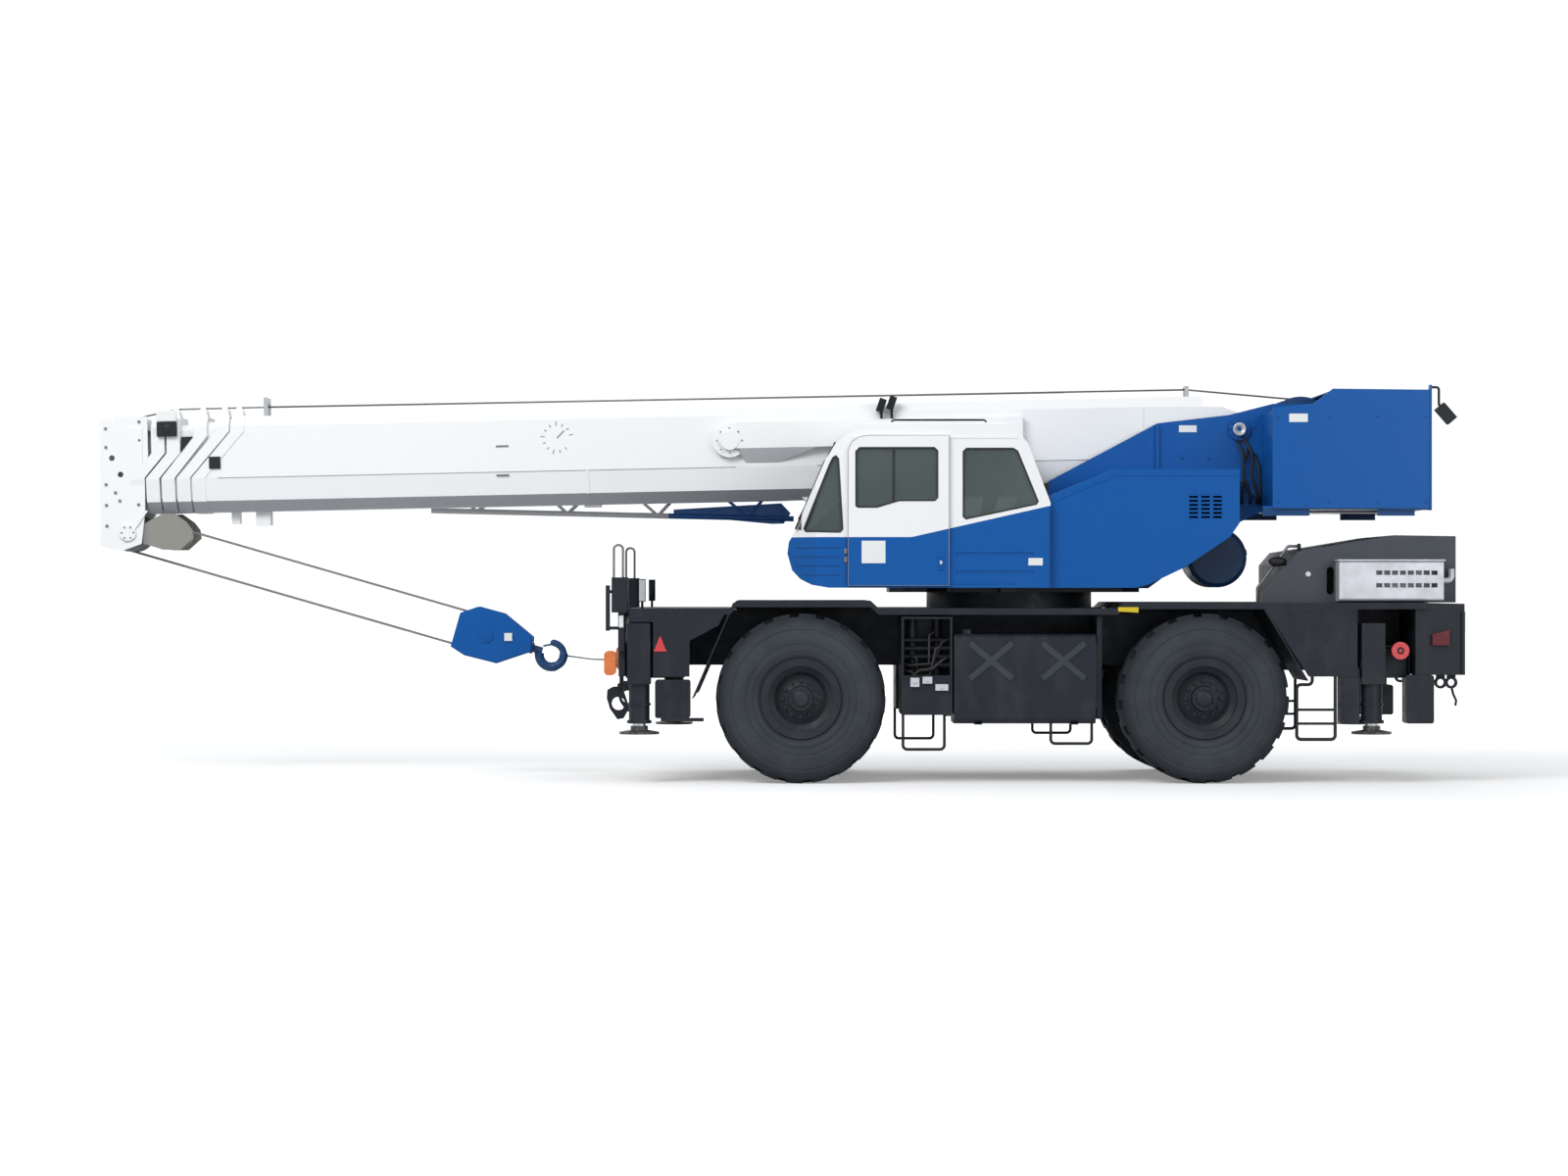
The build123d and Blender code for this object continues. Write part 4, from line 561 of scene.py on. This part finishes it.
# Blank plates on each body: (x, z, x, z, depth of the skin under them)
plates = {
    "superstructure": [(2402, 2042, 2536, 2110, CAB_Y - 1), (4865, 3392, 5040, 3470, -TAIL_Y - 1),
                       (3915, 3330, 4085, 3395, -CHEEK_Y)],
    "carrier": [(-1432, 1462, -1390, 1572, -DECK_Y)]}
for body, rows in plates.items():
    bm = bmesh.new()
    for x0, z0, x1, z1, y in rows:
        add_prism(bm, [(x0, z0), (x1, z0), (x1, z1), (x0, z1)], y - 2, y)
    finish_piece(to_mesh(bm, "plates"), f"blank_plates_{body}", plate_white, body)

bm = bmesh.new()
label = [(3240, 1610), (3430, 1600), (3430, 1650), (3240, 1650)]
add_prism(bm, label, -DECK_Y - 6, -DECK_Y - 1)
finish_piece(to_mesh(bm, "label"), "deck_label", yellow, "carrier")


# Superstructure: panel bolts, the boom's pin rings and hoses

bm = bmesh.new()
for x in (4760, 5240, 5700, 6150):
    for z in (2640, 3440):
        for way in (-1, 1):
            add_bolt(bm, (x, way * TAIL_Y, z), 11, 7, (0, way, 0))
for x, z in ((3700, 3080), (3950, 3080), (4200, 3080), (4650, 3380)):
    for way in (-1, 1):
        add_bolt(bm, (x, way * CHEEK_Y, z), 12, 9, (0, way, 0))
for k in range(8):
    for way in (-1, 1):
        spot = (PIN[0] + 86 * cos(pi * k / 4), way * 430, PIN[1] + 86 * sin(pi * k / 4))
        add_bolt(bm, spot, 9, 7, (0, way, 0))
finish_piece(to_mesh(bm, "panel_bolts"), "panel_bolts", navy, "superstructure")

ring = [(20, 452), (20, 463), (44, 463), (48, 467), (60, 467), (64, 462), (64, 452)]
bm = bmesh.new()
for way in (-1, 1):
    add_lathe(bm, [(r, way * d) for r, d in ring], (PIN[0], 0, PIN[1]), 36)
smooth(finish_piece(to_mesh(bm, "pin_rings"), "pin_rings", bright, "superstructure"))

# Hoses run down the gap between the cheek and the tail: (top x, top z, bend, bottom x)
hoses = ((4470, 3260, 60, 4600), (4520, 3290, 90, 4660), (4580, 3180, -50, 4520),
         (4640, 3120, 40, 4690))
bm = bmesh.new()
for x0, z0, bend, x1 in hoses:
    for way in (-1, 1):
        add_tube(bm, [(x0, way * 420, z0), (x0 + bend, way * 450, z0 - 160),
                      (x0 + bend, way * 455, 2900), (x1, way * 445, 2720), (x1, way * 420, 2640)],
                 14)
smooth(finish_piece(to_mesh(bm, "tail_hoses"), "tail_hoses", seal, "superstructure"))


# Boom: head bolts, angle marks, weld beads with painted crease shade, rope guides, boxes and the
# rope along its top

bm = bmesh.new()
for x, z in ((-10925, 240), (-10925, 60), (-10840, -380), (-10800, -460), (-10600, 300),
             (-10600, 120), (-10930, -300), (-10930, -500), (-10930, -700), (-10620, -500)):
    for way in (-1, 1):
        add_bolt(bm, on_boom((x, way * HEAD_Y, z)), 16, 12, (0, way, 0))
for way in (-1, 1):
    for spot in ring_points((-10730, way * 322, -767), 58, 6):
        add_bolt(bm, on_boom(spot), 9, 9, (0, way, 0))
finish_piece(to_mesh(bm, "bolts"), "head_bolts", steel, "boom_section_5")

bm = bmesh.new()
centre = Vector((-6570, -BOOM_Y - 1, 60))
for k in range(12):
    a = radians(12 + 27 * k)
    inner = centre + Vector((cos(a), 0, sin(a))) * 118
    outer = centre + Vector((cos(a), 0, sin(a))) * (146 if k % 3 else 160)
    add_tube(bm, [on_boom(inner), on_boom(outer)], 4, sides=6)
y = -BOOM_Y - 2
add_tube(bm, [on_boom((-6570, y, 60)), on_boom((-6500, y, 130))], 5, sides=6)
for z in (-10, -290):
    add_tube(bm, [on_boom((-7160, y, z)), on_boom((-7040, y, z))], 9, sides=6)
for spot in ring_points((-4905, -410, -5), 120, 8):
    add_bolt(bm, on_boom(spot), 9, 6, (0, -1, 0))
finish_piece(to_mesh(bm, "marks"), "boom_marks", steel, "boom")

# Beads along the side's crease: weld beads whose grey is painted shade of the crease line.
bm = bmesh.new()
for way in (-1, 1):
    for bead_span in ((-9850, -4850), (-4060, -600)):
        add_tube(bm, [on_boom((x, way * BOOM_Y, CREASE_Z)) for x in bead_span], 4, sides=6)
finish_piece(to_mesh(bm, "beads_and_crease_shade"), "boom_beads_and_crease_shade", painted_line_grey, "boom")

# Rope guides on the collars: (body, x of the guide, height of its eye)
guides = (("boom", -9660, 430), ("boom_section_2", -9800, 430), ("boom_section_3", -10010, 428),
          ("boom_section_4", -10275, 424))
for body, x, rope_z in guides:
    bm = bmesh.new()
    for y in (-88, 78):
        add_prism(bm, [(x - 42, 330), (x + 42, 330), (x + 22, rope_z + 26), (x - 22, rope_z + 26)],
                  y, y + 10, on_boom)
    roller = [(0.5, -79), (9, -79), (9, -70), (14, -66), (11, 0), (14, 66), (9, 70), (9, 79),
              (0.5, 79)]
    add_lathe(bm, roller, on_boom((x, 0, rope_z - 25)), 20)
    finish_piece(to_mesh(bm, "guide"), f"rope_guide_{body}", white, body)

bm = bmesh.new()
lid = [(-10424, 296), (-10232, 296), (-10232, 400), (-10424, 400)]
add_prism(bm, lid, -BOOM_Y - 52, -BOOM_Y, on_boom)
finish_piece(to_mesh(bm, "box"), "junction_lid", plate_white, "boom_section_4", 8)
bm = bmesh.new()
box = [(-10424, 150), (-10232, 150), (-10232, 294), (-10424, 294)]
add_prism(bm, box, -BOOM_Y - 46, -BOOM_Y, on_boom)
add_lathe(bm, [(0.5, -366), (20, -366), (44, -360), (50, -354)], on_boom((-10328, 0, 222)), 28)
finish_piece(to_mesh(bm, "box"), "junction_box", black, "boom_section_4", 8)

# Black plates beside the slanted collars, painted shade where the collars' shadows fall: (body,
# depth, outline in the boom's frame)
collar_shadow_plates = (
    ("boom_section_3", BOOM_Y + 1, [(-10196, 146), (-10078, 146), (-10200, -6)]),
    ("boom", BOOM_Y + 9, [(-9930, -170), (-9820, -170), (-9820, -52), (-9930, -52)]))
for body, depth, outline in collar_shadow_plates:
    bm = bmesh.new()
    for way in (-1, 1):
        add_prism(bm, outline, *sorted((way * depth, way * (depth + 9))), place=on_boom)
    finish_piece(to_mesh(bm, "collar_shadow_sheet"), f"collar_shadow_plates_{body}", black, body, 3)

# Each section carries its own stretch of the top rope, so that it stays whole when they slide
rope_bodies = ["boom", "boom_section_2", "boom_section_3", "boom_section_4", "boom_section_5"]
for n, body in enumerate(rope_bodies):
    rear = -460 if n == 0 else -1650
    bm = bmesh.new()
    path = [(rear, 0, ROPE_Z), (-9400, 0, ROPE_Z + 18)]
    if n == 4:
        path += [(-10275, 0, ROPE_Z + 14), (-10830, 60, 322)]
    add_tube(bm, [on_boom(p) for p in path], 9 - 0.2 * n)
    smooth(finish_piece(to_mesh(bm, "rope"), f"boom_rope_{n + 1}", rope_steel, body))

bm = bmesh.new()
mast_point = on_boom((-460, 0, ROPE_Z))
add_tube(bm, [(5092, 0, 3664), (4900, 0, 3680), mast_point], 9)
mesh = to_mesh(bm, "lead_rope")
lead = bpy.data.objects.new("lead_rope", mesh)
bpy.context.scene.collection.objects.link(lead)
mesh.materials.append(rope_steel)
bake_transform(lead)

lap_count, drum_half, lap_half = 30, 330, 324
bm = bmesh.new()
for x, z, radius in ((5092, 3330, 318), (5780, 3290, 262)):
    laps = [(70, -drum_half)]
    for k in range(lap_count):
        y = -lap_half + 2 * lap_half * k / lap_count
        laps += [(radius - 8, y), (radius, y + 11)]
    laps += [(70, drum_half)]
    add_lathe(bm, laps, (x, 0, z), 56)
finish_piece(to_mesh(bm, "laps"), "drum_rope", rope_steel, "superstructure")


# Tank cover: the side box's plate over the upper half of the round tank

tank_x, tank_z, cover_radius = 4207, 2117, 293
arc = [(tank_x + cover_radius * cos(radians(a)), tank_z + cover_radius * sin(radians(a)))
       for a in range(62, 193, 5)]
bm = bmesh.new()
add_prism(bm, arc + [(4300, 2310)], -1300.6, -1291)
finish_piece(to_mesh(bm, "cover"), "drum_cover", blue, "superstructure")


# Carrier: deck liners, mirrors, hoses, fittings, markers, bolts and the hook's tie

bm = bmesh.new()
for way in (-1, 1):
    for outline in ([(-345, 1598), (995, 1598), (930, 1692), (-330, 1692)],
                    [(3262, 1598), (4640, 1598), (4640, 1676), (3300, 1676)]):
        add_prism(bm, outline, *sorted((way * 432, way * 442)))
finish_piece(to_mesh(bm, "liners"), "deck_liners", black, "carrier")

bm = bmesh.new()
for way in (-1, 1):
    add_tube(bm, [(-1217, way * 1300, 1640), (-1217, way * 1300, 1900)], 12)
    add_prism(bm, [(-1250, 1700), (-1184, 1700), (-1184, 1915), (-1250, 1915)],
              *sorted((way * 1310, way * 1345)))
add_tube(bm, [(4870, -990, 2045), (4800, -990, 2075), (4790, -990, 2080)], 10)
# The oval convex mirror in front of the hood, turned round and then flattened
dome = [(0.5, -1046), (40, -1042), (72, -1030), (86, -1010), (86, -1000), (0.5, -996)]
mirror_z, oval = 2080, 0.55
start = len(bm.verts)
add_lathe(bm, dome, (4785, 0, mirror_z), 32)
bm.verts.ensure_lookup_table()
for vert in bm.verts[start:]:
    vert.co.z = mirror_z * MM + (vert.co.z - mirror_z * MM) * oval
add_tube(bm, [(4988, -1000, 2170), (4988, -1000, 2250)], 17)
add_prism(bm, [(5216, 2200), (5318, 2216), (5312, 2246), (5222, 2232)], -1040, -860)
smooth(finish_piece(to_mesh(bm, "mirror_backs"), "mirror_backs", black, "carrier"))
bm = bmesh.new()
for way in (-1, 1):
    add_prism(bm, [(-1244, 1708), (-1190, 1708), (-1190, 1907), (-1244, 1907)],
              *sorted((way * 1345, way * 1348)))
finish_piece(to_mesh(bm, "mirror_faces"), "mirror_faces", mirror_face, "carrier")

# Valve hoses: (x and z at the start, z of the bend, x and z at the end)
hose_rows = [(1240, 1000, 1060, 1655, 1180), (1250, 1060, 1000, 1600, 1290),
             (1240, 1120, 1110, 1660, 1350), (1300, 1190, 1040, 1540, 1420)]
bm = bmesh.new()
for x0, z0, bend, x1, z1 in hose_rows:
    for way in (-1, 1):
        y = way * (1290 - (z0 - 1000) * 0.5)
        middle = (x0 + x1) / 2
        add_tube(bm, [(x0, y, z0), (x0 + 60, y, z0 - 20), (middle - 60, y, bend),
                      (middle + 60, y, bend + 10), (x1 - 60, y, z1 - 30), (x1, y, z1)], 13)
smooth(finish_piece(to_mesh(bm, "hoses"), "valve_hoses", seal, "carrier"))

bm = bmesh.new()
add_lathe(bm, [(0.5, -1099), (22, -1098), (26, -1094), (26, -1089)], (5062, 0, 1960), 20)
for x0, x1, z0, z1 in ((1296, 1380, 905, 990), (1410, 1500, 935, 1000), (1530, 1650, 870, 930)):
    for way in (-1, 1):
        add_prism(bm, [(x0, z0), (x1, z0), (x1, z1), (x0, z1)],
                  *sorted((way * (TANK_Y + 4), way * (TANK_Y + 40))))
        add_bolt(bm, ((x0 + x1) / 2, way * (TANK_Y + 40), (z0 + z1) / 2), 16, 14, (0, way, 0))
finish_piece(to_mesh(bm, "valves"), "valve_fittings", bright, "carrier", 5)

bm = bmesh.new()
for way in (-1, 1):
    add_tube(bm, [(6404, way * 1150, 896), (6420, way * 1150, 830), (6448, way * 1150, 770),
                  (6440, way * 1150, 720)], 12)
for x, way in ((5877, -1), (5627, 1)):
    ring = [(16, 1441), (20, 1444), (30, 1444), (34, 1441)]
    add_lathe(bm, [(r, way * d) for r, d in ring], (x, 0, 1244), 32)
smooth(finish_piece(to_mesh(bm, "shackles"), "rear_shackles", black, "carrier"))

bm = bmesh.new()
for way in (-1, 1):
    add_prism(bm, [(6180, 1290), (6345, 1290), (6345, 1440), (6180, 1400)],
              *sorted((way * 1388, way * 1402)))
finish_piece(to_mesh(bm, "markers"), "rear_markers", marker_red, "carrier", 6)

bm = bmesh.new()
add_prism(bm, [(-2596, 1318), (-2520, 1318), (-2520, 1394), (-2596, 1394)], -169, -166)
finish_piece(to_mesh(bm, "block_plate"), "block_plate", plate_white, "boom_section_5")

bm = bmesh.new()
for x in range(1760, 3000, 120):
    for way in (-1, 1):
        add_bolt(bm, (x, way * TANK_Y, 1372), 9, 7, (0, way, 0))
slew_x, bolt_circle, slew_bolts = 2300, 770, 30
for k in range(slew_bolts):
    a = 2 * pi * k / slew_bolts
    spot = (slew_x + bolt_circle * cos(a), bolt_circle * sin(a), 1640)
    add_bolt(bm, spot, 14, 10, (0, 0, 1))
for x in (-1000, -900, -800, *range(4700, 5480, 150)):
    for way in (-1, 1):
        add_bolt(bm, (x, way * DECK_Y, 1600), 11, 8, (0, way, 0))
finish_piece(to_mesh(bm, "carrier_bolts"), "carrier_bolts", black, "carrier")

bm = bmesh.new()
add_tube(bm, [(-2000, 0, 1170), (-1760, 0, 1138), (-1560, 0, 1130), (-1442, 0, 1135)], 8)
smooth(finish_piece(to_mesh(bm, "tie"), "hook_tie", rope_steel, "carrier"))


# Stage, light and camera

def area(name, place, aim, size, power):
    lamp = bpy.data.lights.new(name, "AREA")
    lamp.shape = "RECTANGLE"
    lamp.size, lamp.size_y = size
    lamp.energy = power
    holder = bpy.data.objects.new(name, lamp)
    bpy.context.scene.collection.objects.link(holder)
    holder.location = place
    holder.rotation_euler = (Vector(aim) - Vector(place)).to_track_quat("-Z", "Y").to_euler()


floor_mesh = bpy.data.meshes.new("floor")
bm = bmesh.new()
bmesh.ops.create_grid(bm, x_segments=8, y_segments=8, size=120)
bm.to_mesh(floor_mesh)
bm.free()
floor = bpy.data.objects.new("floor", floor_mesh)
bpy.context.scene.collection.objects.link(floor)
shader = Shader("floor_paint")
rays = shader.add("ShaderNodeLightPath").outputs
seen = shader.math("MAXIMUM", rays["Is Camera Ray"],
                   shader.math("MAXIMUM", rays["Is Glossy Ray"], rays["Is Transmission Ray"]))
shade = shader.mix(shader.spread(shader.noise(0.2), 0.3, 0.7), (0.80, 0.80, 0.80),
                   (0.82, 0.82, 0.82))
reach = shader.math("MAXIMUM", shader.math("ABSOLUTE", shader.x), shader.math(
    "ABSOLUTE", shader.y))
glow = shader.math("MULTIPLY", seen, shader.spread(reach, 7.0, 24.0, 0.22, 0.75))
shader.put(shader.surface.inputs["Emission Color"], (1.0, 1.0, 1.0, 1))
shader.put(shader.surface.inputs["Emission Strength"], glow)
floor_mesh.materials.append(shader.end(
    shader.mix(seen, (0.42, 0.42, 0.42), shade),
    shader.spread(shader.noise(0.5), 0.3, 0.7, 0.85, 0.95), gloss=0.1))
smooth(floor)

world = bpy.data.worlds.new("studio")
world.use_nodes = True
background = world.node_tree.nodes["Background"]
background.inputs[0].default_value = (0.96, 0.98, 1.0, 1)
# The sky is seen as white and lights the crane more softly
sky = world.node_tree.nodes.new("ShaderNodeLightPath")
sky_power = world.node_tree.nodes.new("ShaderNodeMapRange")
world.node_tree.links.new(sky.outputs["Is Camera Ray"], sky_power.inputs[0])
sky_power.inputs[3].default_value = 0.62
sky_power.inputs[4].default_value = 1.1
world.node_tree.links.new(sky_power.outputs[0], background.inputs[1])
bpy.context.scene.world = world
area("key", (-9, -16, 15), (0, 0, 1.5), (12, 9), 3000)
area("fill", (14, -18, 6), (0, 0, 1.5), (10, 8), 1000)
area("back", (3, 16, 12), (0, 0, 2), (14, 6), 900)

camera_data = bpy.data.cameras.new("camera")
camera = bpy.data.objects.new("camera", camera_data)
bpy.context.scene.collection.objects.link(camera)
camera_data.sensor_width = 36
camera_data.lens = 86.07
camera.location = (0.1135, -36.48, 1.83)
camera.rotation_euler = (pi / 2, 0, 0)
camera_data.clip_end = 300
scene = bpy.context.scene
scene.camera = camera
scene.render.resolution_x, scene.render.resolution_y = 1600, 1200
scene.view_settings.view_transform = "Standard"
